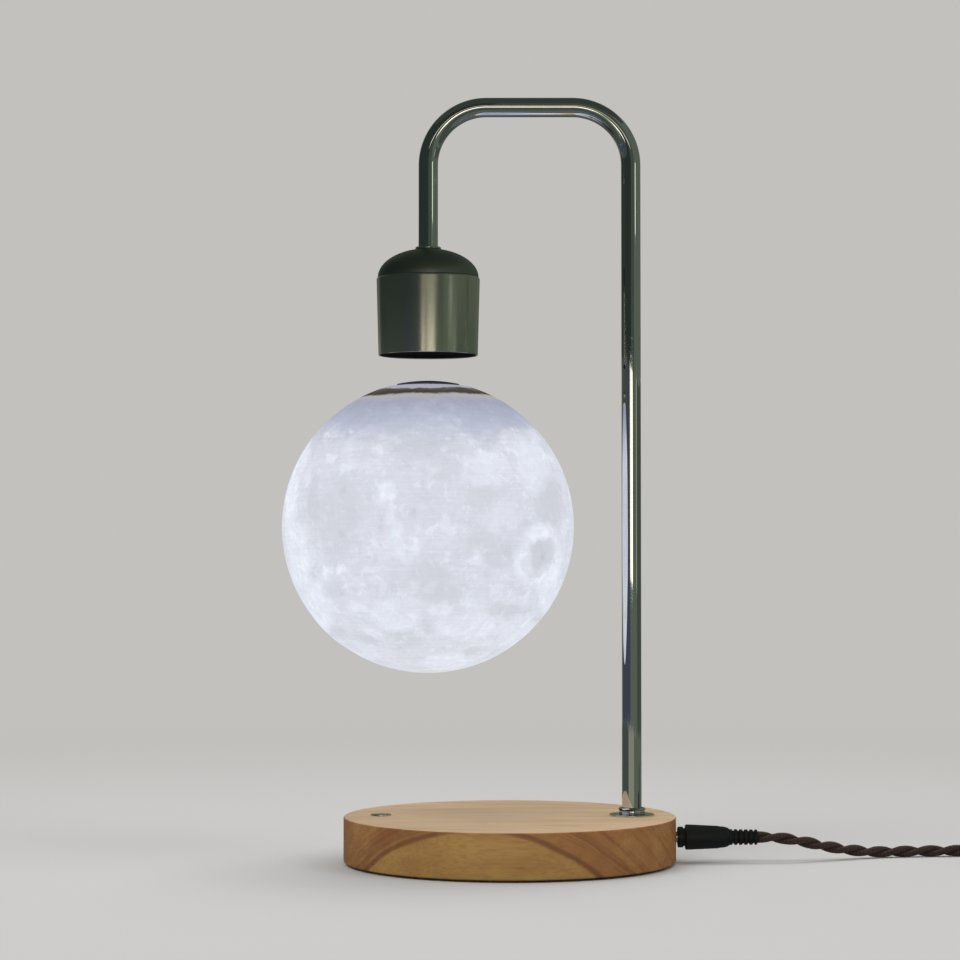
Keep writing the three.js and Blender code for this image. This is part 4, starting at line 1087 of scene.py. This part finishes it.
def mark_share(directions, x, y, half_width, half_height, lean=None):
    """How much of a mark of the photographed side each vector gets; a leaning mark has a firm edge."""
    across = (x - MOON_PIXEL_X) / MOON_PIXEL_RADIUS
    up = (MOON_PIXEL_Y - y) / MOON_PIXEL_RADIUS
    north = directions[:, 2] - up
    east = (directions[:, 0] - across - (lean or 0) * north) * MOON_PIXEL_RADIUS / half_width
    north *= MOON_PIXEL_RADIUS / half_height
    reach = np.sqrt(east ** 2 + north ** 2)
    soft = 0.12 if lean else 0.27
    return (1 - smooth_step(reach, 0.95 - soft, 0.95 + soft)) * (directions[:, 1] < 0.1)


def cut_ball(name, radius, segments, rings, level):
    """Ball about the origin without what is above a level."""
    nothing_selected()
    bpy.ops.mesh.primitive_uv_sphere_add(segments=segments, ring_count=rings, radius=radius)
    ball = bpy.context.object
    ball.name = ball.data.name = name
    all_in_edit_mode()
    bpy.ops.mesh.bisect(plane_co=(0, 0, level), plane_no=Z_AXIS, clear_outer=True)
    bpy.ops.object.mode_set(mode="OBJECT")
    return ball


def sculpted(ball):
    """Gives the outer ball its relief, and its tones as attributes for the resin."""
    place = np.zeros(len(ball.data.vertices) * 3)
    ball.data.vertices.foreach_get("co", place)
    place = place.reshape(-1, 3)
    directions = place / np.linalg.norm(place, axis=1)[:, None]
    calm = 1 - smooth_step(directions[:, 2], 0.8, 0.93)
    height = (moon_relief(directions) - CRATER_DEPTH * 0.2) * calm
    ball.data.vertices.foreach_set("co", (place + directions * height[:, None]).ravel())
    for name, values in zip(("moon_tone", "moon_violet"), moon_tones(directions)):
        attribute = ball.data.attributes.new(name, "FLOAT", "POINT")
        attribute.data.foreach_set("value", values.astype(np.float32))


def moon_shell(finish):
    """Fine outer ball and plain inner ball, both cut at the neck and bridged there."""
    inner_radius = MOON_RADIUS - MOON_WALL
    inner_rim = math.sqrt(inner_radius ** 2 - (MOON_OPENING - FIT) ** 2)
    outer = cut_ball("moon_shell_fine", MOON_RADIUS, MOON_SEGMENTS, MOON_RINGS, RIM_HEIGHT)
    inner = cut_ball("moon_inside", inner_radius, MOON_INNER_SEGMENTS, MOON_INNER_RINGS, inner_rim)
    sculpted(outer)
    picked(inner)
    all_in_edit_mode()
    bpy.ops.mesh.flip_normals()
    bpy.ops.object.mode_set(mode="OBJECT")
    outer.select_set(True)
    bpy.context.view_layer.objects.active = outer
    bpy.ops.object.join()
    bpy.ops.object.mode_set(mode="EDIT")
    bpy.ops.mesh.select_mode(type="EDGE")
    bpy.ops.mesh.select_all(action="DESELECT")
    bpy.ops.mesh.select_non_manifold()
    bpy.ops.mesh.bridge_edge_loops()
    bpy.ops.mesh.select_mode(type="VERT")
    bpy.ops.object.mode_set(mode="OBJECT")
    outer.location = MOON_CENTRE
    settled(outer)
    smoothed(outer)
    return dress(outer, finish, "globe", "moon_resin", "moon_shell")


def receiver_holder(finish):
    """Neck wall with a thin sloping lid, and a boss under the magnet's cap."""
    low, high = node_span("receiver_holder", 2)
    cap, ease = round_node("magnet_cap")[0], 0.1 * MM
    wall = MOON_OPENING - 2 * FIT
    boss = cap - CAP_SKIRT - ease
    lid = high - LID_FALL
    profile = [
        (0, RIM_LEVEL), (wall - HOLDER_WALL, RIM_LEVEL), (wall - HOLDER_WALL, low), (wall, low),
        (wall, RIM_LEVEL), (MOON_OPENING - ease, RIM_LEVEL), (MOON_OPENING, RIM_LEVEL + ease),
        (MOON_OPENING - ease, RIM_LEVEL + LID_EDGE), (cap, lid - ease / 2), (boss, lid),
        (boss, high - ease), (boss - ease, high), (0, high)]
    return round_piece("receiver_holder", profile, finish, "white_plastic", "globe")


def magnet_cap(finish):
    """Shallow cap that carries on the globe's curve, with a short skirt over the lid's boss."""
    radius, low, high = round_node("magnet_cap")
    skirt, edge = low - LID_FALL, low + 0.25 * MM
    profile = [
        (0, low), (radius - CAP_SKIRT, low), (radius - CAP_SKIRT, skirt), (radius, skirt),
        (radius, edge - 0.1 * MM), (radius - 0.1 * MM, edge)]
    for i in range(1, CAP_STEPS + 1):
        share = 1 - i / CAP_STEPS
        profile.append((radius * share, high - (high - edge) * share ** 2))
    return round_piece("magnet_cap", profile, finish, "black_plastic", "float")


# Plug, cord, tie and wall adapter

# Free stretch of the cord from the plug to the coil, in millimetres
CORD_ROUTE = [
    (127.1, 0, 13), (133, 0.2, 12.9), (139, 0.8, 12.4), (145, 1.9, 11.5), (151, 3.6, 10.3), (157, 5.8, 8.9),
    (163, 8.4, 7.5), (169, 11.2, 6.2), (175, 14, 5.1), (181, 16.7, 4.2), (187, 19.2, 3.5), (193, 21.3, 3.1),
    (200, 23.2, 3), (208, 24.8, 3), (217, 26, 3), (227, 27, 3), (238, 27.6, 3.1), (250, 28, 3.3),
    (262, 28, 3.6), (275, 28, 3.9), (288, 28, 4.1),
]
CORD_DIAMETER = 6 * MM
CORD_LENGTH = 1500 * MM
COIL_TURNS = 6
COIL_PITCH = 6.6 * MM
COIL_STEPS = 72
TIE_THICKNESS = 0.8 * MM
TIE_WIDTH = 10 * MM
TIE_CLEARANCE = 0.9 * MM
TIE_BEND = 3.2 * MM
TAIL_LENGTH = 26 * MM
STRAND_PITCH = 28 * MM
STRAND_SIDES = 12
STRAND_STEP = 1.6 * MM
# Pairs of knots that each step of a Catmull-Rom curve mixes its points by
KNOT_PAIRS = (((0, 1), (1, 2), (2, 3)), ((0, 2), (1, 3)), ((1, 2),))


def smooth_route(points, steps=12):
    """Points of the smooth curve through hand-set points (centripetal Catmull-Rom)."""
    points = [np.array(p, float) for p in points]
    ends = [2 * points[0] - points[1], *points, 2 * points[-1] - points[-2]]
    route = []
    for four in zip(ends, ends[1:], ends[2:], ends[3:]):
        knots = np.cumsum([0, *[math.sqrt(np.linalg.norm(q - p)) for p, q in zip(four, four[1:])]])
        for i in range(steps):
            t = knots[1] + (knots[2] - knots[1]) * i / steps
            left = four
            for pairs in KNOT_PAIRS:
                left = [(p * (knots[k] - t) + q * (t - knots[j])) / (knots[k] - knots[j])
                        for p, q, (j, k) in zip(left, left[1:], pairs)]
            route.append(left[0])
    return [*route, points[-1]]


def coil_line(route_length, start):
    """Two flat layers of loops, as the CAD coil: inwards below, outwards above."""
    wound = CORD_LENGTH - route_length - TAIL_LENGTH - 2 * CORD_DIAMETER
    half = COIL_TURNS / 2
    inner = wound / (COIL_TURNS * FULL_TURN) - COIL_PITCH * half / 2
    outer = inner + COIL_PITCH * half
    centre_x, centre_y = start[0] + CORD_DIAMETER + FIT, start[1] - outer
    level = CORD_DIAMETER / 2 + TIE_THICKNESS + FIT
    points = []
    for i in range(COIL_TURNS * COIL_STEPS + 1):
        turn = i / COIL_STEPS - half
        climb = float(smooth_step(np.array(turn), -0.25, 0.25))
        radius = inner + COIL_PITCH * abs(turn)
        angle = math.pi / 2 - (turn + half) * FULL_TURN
        points.append(np.array([centre_x + radius * math.cos(angle), centre_y + radius * math.sin(angle),
                                level + COIL_PITCH * climb]))
    return points, (centre_x, centre_y, inner, outer, level)


def resampled(points, step):
    """The same line with evenly spaced points."""
    points = np.array(points)
    along = np.concatenate([[0], np.cumsum(np.linalg.norm(np.diff(points, axis=0), axis=1))])
    count = max(2, round(along[-1] / step))
    wanted = np.linspace(0, along[-1], count + 1)
    return np.stack([np.interp(wanted, along, points[:, k]) for k in range(3)], axis=1), wanted


def cord_path():
    route = smooth_route([[c * MM for c in p] for p in CORD_ROUTE])
    route_length = float(np.linalg.norm(np.diff(np.array(route), axis=0), axis=1).sum())
    coil, facts = coil_line(route_length, route[-1])
    end = coil[-1] + np.array([CORD_DIAMETER + TAIL_LENGTH, 0, 0])
    tail = [coil[-1] + (end - coil[-1]) * share for share in (0.1, 0.4, 0.7, 1.0)]
    return resampled([*route, *coil, *tail], STRAND_STEP), facts


def laid_strand(line, along, out, beside, first):
    """One strand round a line: its points, faces and map, with its points counted from first."""
    points = []
    for middle, away, side in zip(line, out, beside):
        for k in range(STRAND_SIDES):
            angle = k / STRAND_SIDES * FULL_TURN
            points.append(middle + away * STRAND_RADIUS + away * math.cos(angle) * STRAND_RADIUS
                          + side * math.sin(angle) * STRAND_HALF_WIDTH)
    faces, places = [], []
    for i, (start, end) in enumerate(zip(along, along[1:])):
        u0, u1 = start / (4 * BRAID_YARN), end / (4 * BRAID_YARN)
        ring = first + i * STRAND_SIDES
        for k in range(STRAND_SIDES):
            a, b = ring + k, ring + (k + 1) % STRAND_SIDES
            faces.append((a, b, b + STRAND_SIDES, a + STRAND_SIDES))
            v0, v1 = k / STRAND_SIDES, (k + 1) / STRAND_SIDES
            places += [(u0, v0), (u0, v1), (u1, v1), (u1, v0)]
    last = first + (len(line) - 1) * STRAND_SIDES
    faces.append(tuple(first + k for k in reversed(range(STRAND_SIDES))))
    faces.append(tuple(last + k for k in range(STRAND_SIDES)))
    places += [(0, 0)] * (2 * STRAND_SIDES)
    return points, faces, places


def twisted_cord(finish):
    """Two braided strands laid round each other; each strand carries its own map for the braid."""
    (line, along), coil = cord_path()
    ways = np.gradient(line, axis=0)
    ways /= np.linalg.norm(ways, axis=1)[:, None]
    across = np.cross(ways, Z_AXIS)
    across /= np.linalg.norm(across, axis=1)[:, None]
    rise = np.cross(across, ways)
    points, faces, places = [], [], []
    for strand in (0, 1):
        # Both strands run straight into the reliefs, so they close up side by side there
        lay = (along / STRAND_PITCH * FULL_TURN + strand * math.pi + math.pi / 2)[:, None]
        out = across * np.cos(lay) + rise * np.sin(lay)
        beside = rise * np.cos(lay) - across * np.sin(lay)
        new_points, new_faces, new_places = laid_strand(line, along, out, beside, len(points))
        points += new_points
        faces += new_faces
        places += new_places
    mesh = bpy.data.meshes.new("twisted_cord")
    mesh.from_pydata([tuple(v) for v in points], [], faces)
    mesh.uv_layers.new(name="strand").data.foreach_set("uv", np.array(places, np.float32).ravel())
    piece = bpy.data.objects.new("twisted_cord", mesh)
    bpy.context.scene.collection.objects.link(piece)
    picked(piece)
    all_in_edit_mode()
    bpy.ops.mesh.normals_make_consistent(inside=False)
    bpy.ops.object.mode_set(mode="OBJECT")
    smoothed(piece, math.radians(60))
    dress(piece, finish, "stand", "brown_braid", "cord_run", "cord_coil", "cord_tail")
    return piece, line, coil


def plug_barrel(finish):
    radius, start, end = round_node("plug_barrel", 0)
    edge = 0.3 * MM
    bore = radius - 1.45 * MM
    profile = [
        (bore, start + edge), (bore + edge, start), (radius - edge, start), (radius, start + edge),
        (radius, end), (bore, end), (bore, start + edge)]
    return round_piece("plug_barrel", profile, finish, "plug_nickel", axis=X_AXIS, steps=SMALL_STEPS)


PLUG_TAIL_RADIUS = 4.1 * MM


def plug_body(finish):
    """Moulded grip: front ring, neck, tapered grip and a round shoulder down to the relief."""
    radius, start, end = round_node("plug_body", 0)
    length = end - start
    ring, neck, grip = radius * 0.82, radius * 0.71, radius * 0.84
    ring_end = start + length * 0.106
    neck_end = ring_end + length * 0.045
    grip_end = start + length * 0.83
    edge, fine, swell = 0.35 * MM, 0.1 * MM, 0.7 * MM
    shoulder = [
        (PLUG_TAIL_RADIUS + (grip - PLUG_TAIL_RADIUS) * math.cos(a) ** 1.2,
         grip_end + (end - grip_end) * math.sin(a)) for a in map(math.radians, range(15, 90, 15))]
    profile = [
        (0, start), (ring - edge, start), (ring - fine, start + fine), (ring, start + edge),
        (ring, ring_end - edge), (ring - fine, ring_end - fine), (neck, ring_end),
        (neck, neck_end - 2 * fine),
        *arc_points(radius - swell, neck_end + 0.6 * MM, swell, -90, 0, 4),
        (radius, neck_end + 1.2 * MM), (grip + 0.3 * MM, grip_end - 1.2 * MM), (grip, grip_end),
        *shoulder, (PLUG_TAIL_RADIUS, end), (0, end)]
    return round_piece("plug_body", profile, finish, "black_pvc", axis=X_AXIS, steps=64)


RELIEF_END_RADIUS = 3.9 * MM
ADAPTER_RELIEF_RADIUS = 5.2 * MM
RELIEF_GROOVE = 0.8 * MM
RELIEF_RIBS = 5
# One rib: places along it and how deep the groove is there, as shares
RIB_SHAPE = ((0.3, 0), (0.5, 0.06), (0.6, 0.5), (0.68, 1), (0.88, 1), (0.94, 0.5), (1.0, 0.06))


def ribbed_relief(finish, node, way, start_radius):
    """Sleeve of soft ribs from a housing; way is 1 where it runs along +X and -1 against it."""
    start, end = node_span(node, 0)[::way]
    pitch = abs(end - start) / (RELIEF_RIBS + 0.5)
    profile = [(0, start), (start_radius, start)]
    for i in range(RELIEF_RIBS):
        radius = start_radius + (RELIEF_END_RADIUS - start_radius) * (i + 1) / RELIEF_RIBS
        profile += [(radius - RELIEF_GROOVE * depth, start + way * pitch * (i + share))
                    for share, depth in RIB_SHAPE]
    ease, tip = 0.15 * MM, 0.5 * MM
    profile += [(RELIEF_END_RADIUS, end - way * tip), (RELIEF_END_RADIUS - ease, end - way * ease),
                (RELIEF_END_RADIUS - tip, end), (0, end)]
    return round_piece(node, profile, finish, "black_pvc", axis=X_AXIS, steps=SMALL_STEPS)


def cord_tie(finish, coil):
    """Hook-and-loop strap round the bundle."""
    centre_x, centre_y, inner, outer, level = coil
    near = inner + COIL_PITCH / 2 - CORD_DIAMETER / 2 - TIE_CLEARANCE - TIE_THICKNESS
    far = outer - COIL_PITCH / 2 + CORD_DIAMETER / 2 + TIE_CLEARANCE + TIE_THICKNESS
    top = level + COIL_PITCH + CORD_DIAMETER / 2 + FIT + TIE_THICKNESS
    band = block("cord_tie_fine", (centre_x - TIE_WIDTH / 2, centre_y - far, 0),
                 (centre_x + TIE_WIDTH / 2, centre_y - near, top))
    mesh = bmesh.new()
    mesh.from_mesh(band.data)
    ends = [face for face in mesh.faces if abs(face.normal.x) > 0.9]
    bmesh.ops.delete(mesh, geom=ends, context="FACES_ONLY")
    mesh.to_mesh(band.data)
    mesh.free()
    eased(band, TIE_BEND, 6, 60)
    apply_modifier(band, "SOLIDIFY", thickness=TIE_THICKNESS, offset=-1, use_rim=True)
    smoothed(band)
    return dress(band, finish, "stand", "black_pvc", "cord_tie")


ADAPTER_CORNER = 4 * MM
ADAPTER_EDGE = 1.2 * MM
GRIP_GROOVES, GRIP_PITCH, GRIP_START = 6, 2.6 * MM, 8 * MM
GRIP_DEPTH, GRIP_MARGIN = 0.5 * MM, 6 * MM
BLADE_HOLE_RADIUS, BLADE_HOLE_INSET, BLADE_EDGE = 1.4 * MM, 3.2 * MM, 0.35 * MM


def adapter_half(node):
    """Moulded half of the adapter: long edges well rounded, ends eased."""
    piece = block(f"{node}_fine", *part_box(node))
    bpy.ops.object.mode_set(mode="EDIT")
    mesh = bmesh.from_edit_mesh(piece.data)
    for edge in mesh.edges:
        way = (edge.verts[0].co - edge.verts[1].co).normalized()
        edge.select_set(abs(way.x) > 0.9)
    bmesh.update_edit_mesh(piece.data)
    bpy.ops.mesh.bevel(offset=ADAPTER_CORNER, segments=8, affect="EDGES")
    bpy.ops.object.mode_set(mode="OBJECT")
    eased(piece, ADAPTER_EDGE, 4, 60)
    smoothed(piece)
    return piece


def adapter_case(finish):
    """Half with grip grooves across both long sides."""
    piece = adapter_half("adapter_case")
    low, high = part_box("adapter_case")
    for i in range(GRIP_GROOVES):
        x = high.x - GRIP_START - i * GRIP_PITCH
        for y in (low.y, high.y):
            cut_away(piece, block("groove", (x - GRIP_DEPTH, y - GRIP_DEPTH, low.z + GRIP_MARGIN),
                                  (x + GRIP_DEPTH, y + GRIP_DEPTH, high.z - GRIP_MARGIN)))
    smoothed(piece)
    return dress(piece, finish, "stand", "black_plastic", "adapter_case")


def adapter_face(finish):
    return dress(adapter_half("adapter_face"), finish, "stand", "black_plastic", "adapter_face")


def adapter_blade(finish, index):
    node = f"adapter_blade_{index}"
    low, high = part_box(node)
    piece = block(f"{node}_fine", low, high)
    hole_x, middle = high.x - BLADE_HOLE_INSET, node_middle(node)
    cut_away(piece, drum(BLADE_HOLE_RADIUS, (hole_x, middle.y - 2 * MM, middle.z),
                         (hole_x, middle.y + 2 * MM, middle.z), ALONG_Y, 24))
    eased(piece, BLADE_EDGE, 3, 50)
    smoothed(piece)
    return dress(piece, finish, "stand", "plug_nickel", node)


# Stage: floor, world, lamps and cards

BACKDROP = "#c3c1bd"
FLOOR_COLOUR = "#bdbdbd"
FLOOR_RADIUS = 9.0
FLOOR_LEVEL = -0.05 * MM
FLOOR_FADE = (0.3, 1.25)
# Lamps: azimuth and elevation in degrees, distance, width and height in metres, power in watts
SOFTBOX_AIM = Vector((0, 0, 0.2))
SOFTBOXES = {
    "key_softbox": (-50, 48, 1.9, 1.0, 1.0, 13),
    "fill_softbox": (62, 40, 2.0, 1.0, 1.0, 8),
    "top_softbox": (175, 72, 1.9, 1.2, 0.9, 15),
}
# A plain dim room for polished metal to show: the tones of its surfaces, with their strength
ROOM_TONES = {
    "night": ("#2c3430", 1), "shade": ("#464e46", 1), "blue_shade": ("#404854", 1), "dim": ("#5e665a", 1),
    "stone": ("#8c8c7c", 1), "linen": ("#b4bca8", 1), "glass": ("#fff4dc", 2),
}
# Its rings: lowest and highest level in metres, then each surface's last azimuth and tone; 0 is the
# camera's side, where a window with two panes lights the desk, and a curtain hangs to its right
ROOM_RINGS = {
    "wall": (0.42, 2.6, [(-140, "dim"), (0, "night"), (35, "shade"), (180, "dim")]),
    "window": (0.12, 0.42, [
        (-140, "stone"), (-60, "shade"), (-15, "blue_shade"), (-8, "glass"), (-2, "linen"),
        (15, "glass"), (60, "dim"), (66, "linen"), (140, "shade"), (180, "dim")]),
    "sill": (-0.085, 0.12, [(-140, "stone"), (-15, "blue_shade"), (66, "dim"), (140, "shade"), (180, "dim")]),
    "desk": (-0.24, -0.085, [(-140, "dim"), (-40, "shade"), (25, "stone"), (180, "dim")]),
    "floor": (-1.6, -0.24, [(180, "shade")]),
}
WIDEST_CARD = 40
CARD_DISTANCE, NEAR_CARD_DISTANCE = 2.3, 2.2
# A bar of light over the window and a lit edge of the curtain, as add_card takes them
NEAR_CARDS = {
    "bar_card": (-30, 34, 0.86, 0.98, "#fff3dc", 1.0),
    "curtain_card": (49, 55.5, 0.61, 0.73, "#eef2dc", 1.5),
}
# Lying cards: level, turn and tone
LYING_CARDS = {"ceiling_card": (2.6, math.pi, "#3a3f39"), "desk_card": (-1.6, 0, "#5d6062")}
LYING_CARD_SIZE = 5.2


def add_floor():
    nothing_selected()
    bpy.ops.mesh.primitive_circle_add(vertices=96, radius=FLOOR_RADIUS, fill_type="NGON",
                                      location=(0, 0, FLOOR_LEVEL))
    floor = bpy.context.object
    floor.name = "studio_floor"
    material, tree, shader = new_finish(
        "matt_studio_floor", Base_Color=linear(FLOOR_COLOUR), Roughness=0.9, Specular_IOR_Level=0.0)
    far = add_node(tree, "ShaderNodeVectorMath", {0: object_places(tree)}, operation="LENGTH")
    fade = ranged(tree, far.outputs["Value"], *FLOOR_FADE, smooth=True)
    glow = add_node(tree, "ShaderNodeEmission", {"Color": linear(BACKDROP)})
    both = add_node(tree, "ShaderNodeMixShader", {0: fade, 1: shader.outputs[0], 2: glow.outputs[0]})
    # Seen from below the floor lets the underside of the lamp show
    clear = add_node(tree, "ShaderNodeBsdfTransparent")
    back = add_node(tree, "ShaderNodeNewGeometry").outputs["Backfacing"]
    seen = add_node(tree, "ShaderNodeMixShader", {0: back, 1: both.outputs[0], 2: clear.outputs[0]})
    into(tree.nodes["Material Output"], "Surface", seen.outputs[0])
    floor.data.materials.append(material)
    # Mirrors see the room's cards instead, which go on below the floor's level
    floor.visible_glossy = False


def add_world():
    world = bpy.context.scene.world or bpy.data.worlds.new("studio_world")
    bpy.context.scene.world = world
    world.use_nodes = True
    background = world.node_tree.nodes["Background"]
    background.inputs["Color"].default_value = linear(BACKDROP)
    background.inputs["Strength"].default_value = 1.0


def add_softbox(name, azimuth, elevation, distance, width, height, power):
    """Area lamp aimed at the globe: azimuth 0 is the camera's side, 90 is +X."""
    a, e = math.radians(azimuth), math.radians(elevation)
    way = Vector((math.sin(a) * math.cos(e), -math.cos(a) * math.cos(e), math.sin(e)))
    nothing_selected()
    bpy.ops.object.light_add(type="AREA", location=SOFTBOX_AIM + way * distance)
    lamp = bpy.context.object
    lamp.name = name
    lamp.rotation_euler = way.to_track_quat("Z", "Y").to_euler()
    lamp.data.shape = "RECTANGLE"
    lamp.data.size, lamp.data.size_y = width, height
    lamp.data.energy = power
    lamp.visible_camera = lamp.visible_glossy = False


def mirror_only(card, colour, strength=1.0):
    """Makes a sheet that only mirrors see, so that polished metal has a room to show."""
    material = bpy.data.materials.new(card.name)
    material.use_nodes = True
    tree = material.node_tree
    tree.nodes.clear()
    glow = add_node(tree, "ShaderNodeEmission", {"Color": linear(colour), "Strength": strength})
    into(add_node(tree, "ShaderNodeOutputMaterial"), "Surface", glow.outputs[0])
    card.data.materials.append(material)
    card.visible_camera = card.visible_diffuse = card.visible_shadow = False


def add_card(name, start, end, low, high, colour, strength, distance=CARD_DISTANCE):
    """Upright card round the lamp: from one azimuth to another in degrees, low and high in metres."""
    a = math.radians((start + end) / 2)
    out = Vector((math.sin(a), -math.cos(a), 0))
    nothing_selected()
    bpy.ops.mesh.primitive_plane_add(size=1, location=out * distance + Z_AXIS * (low + high) / 2)
    card = bpy.context.object
    card.name = name
    card.scale = (2 * distance * math.tan(math.radians(end - start) / 2), high - low, 1)
    card.rotation_euler = out.to_track_quat("Z", "Y").to_euler()
    mirror_only(card, colour, strength)


def add_cards():
    for ring, (low, high, surfaces) in ROOM_RINGS.items():
        start = -180
        for end, tone in surfaces:
            pieces = math.ceil((end - start) / WIDEST_CARD)
            for i in range(pieces):
                left = start + (end - start) * i / pieces
                right = start + (end - start) * (i + 1) / pieces
                add_card(f"{ring}_card_{round(left) + 180}", left, right, low, high, *ROOM_TONES[tone])
            start = end
    for name, card in NEAR_CARDS.items():
        add_card(name, *card, NEAR_CARD_DISTANCE)
    for name, (level, turn, colour) in LYING_CARDS.items():
        nothing_selected()
        bpy.ops.mesh.primitive_plane_add(size=LYING_CARD_SIZE, location=(0, 0, level), rotation=(turn, 0, 0))
        bpy.context.object.name = name
        mirror_only(bpy.context.object, colour)


# Put the lamp together

# CAD nodes that stay as they are, under the finish that each gets
INNER_NODES = {
    "fibreboard": ["base_cover"],
    "board": ["control_board", "sensor_board", "head_board", "receiver_board"],
    "white": ["board_standoff_1", "board_standoff_2", "board_standoff_3", "light_board"],
    "can": ["board_capacitor"],
    "ferrite": ["board_inductor", "ferrite_ring"],
    "zinc": ["touch_spring", "under_washer", "foot_nut", "head_nut", "magnet_core", "core_screw"],
    "pvc": ["wiring_loom"],
    "copper": ["sender_coil", "magnet_winding", "receiver_coil"],
    "black": ["coil_bobbin"],
    "nickel": ["float_magnet"],
    "lens": ["light_1", "light_2", "light_3", "light_4"],
}
# Pieces made here, with the finish of each
OUTER_PIECES = [
    (wooden_base, "wood"), (base_pad, "foam"), (cover_screws, "zinc"), (touch_button, "chrome"),
    (power_socket, "black"), (arched_tube, "chrome"), (foot_washer, "chrome"), (foot_collar, "chrome"),
    (tube_rosette, "chrome"), (head_shell, "cup"), (head_dome, "dome"), (head_cover, "dull"),
    (moon_shell, "moon"), (receiver_holder, "lid"), (magnet_cap, "smoke"),
]


def all_finishes():
    return {
        "wood": oiled_wood(), "chrome": polished_chrome(),
        "cup": brushed_nickel("brushed_nickel", "#d6d8cc", "#d2d4c8", 0.25, 0.55),
        # Painted shade: the dome's nickel is drawn darker than the cup's, so that the upward-facing dome
        # reads dark
        "dome": brushed_nickel("satin_nickel", "#9aa098", "#969c94", 0.46, 0.2),
        "black": moulded_plastic("black_moulded_abs", "#111214", 0.42),
        "smoke": moulded_plastic("smoke_grey_moulded_abs", "#33363f", 0.5, mix_to="#454852"),
        "dull": moulded_plastic("dull_black_moulded_abs", "#08090a", 0.9, mix_to="#0c0d0f", gloss=0.1),
        "pvc": moulded_plastic("black_moulded_pvc", "#131417", 0.48),
        "white": moulded_plastic("white_moulded_nylon", "#d6d8d8", 0.45, mix_to="#c8caca"),
        "strap": moulded_plastic("black_woven_strap", "#1d1d1f", 0.8, 0.6 * MM, 0.15 * MM),
        "zinc": zinc_steel(), "nickel": nickel_plate(), "foam": foam_sheet(), "fibreboard": fibreboard(),
        "board": circuit_board(), "copper": copper_winding(), "ferrite": ferrite(),
        "can": drawn_aluminium(), "lens": lit_lens(), "lid": lit_lid(), "braid": braided_cotton(),
        "moon": lit_moon_resin(),
    }


def build_cord(finishes):
    """The cord with its plug, its wall adapter and its tie."""
    exit_point = node_middle("strain_relief").copy()
    exit_point.x = node_span("strain_relief", 0)[1] + FIT
    cord, line, coil = twisted_cord(finishes["braid"])
    plug = [
        plug_barrel(finishes["nickel"]), plug_body(finishes["pvc"]),
        ribbed_relief(finishes["pvc"], "strain_relief", 1, PLUG_TAIL_RADIUS),
    ]
    adapter = [
        ribbed_relief(finishes["pvc"], "adapter_relief", -1, ADAPTER_RELIEF_RADIUS),
        adapter_case(finishes["black"]), adapter_face(finishes["black"]),
        adapter_blade(finishes["nickel"], 1), adapter_blade(finishes["nickel"], 2),
    ]
    tie = cord_tie(finishes["strap"], coil)
    [tuple(p) for p in line]


def build_lamp():
    finishes = all_finishes()
    build_cord(finishes)
    for make, finish in OUTER_PIECES:
        make(finishes[finish])
    for finish, nodes in INNER_NODES.items():
        for node in nodes:
            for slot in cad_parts[node].material_slots:
                slot.material = finishes[finish]


build_lamp()
add_world()
add_floor()
for name, softbox in SOFTBOXES.items():
    add_softbox(name, *softbox)
add_cards()
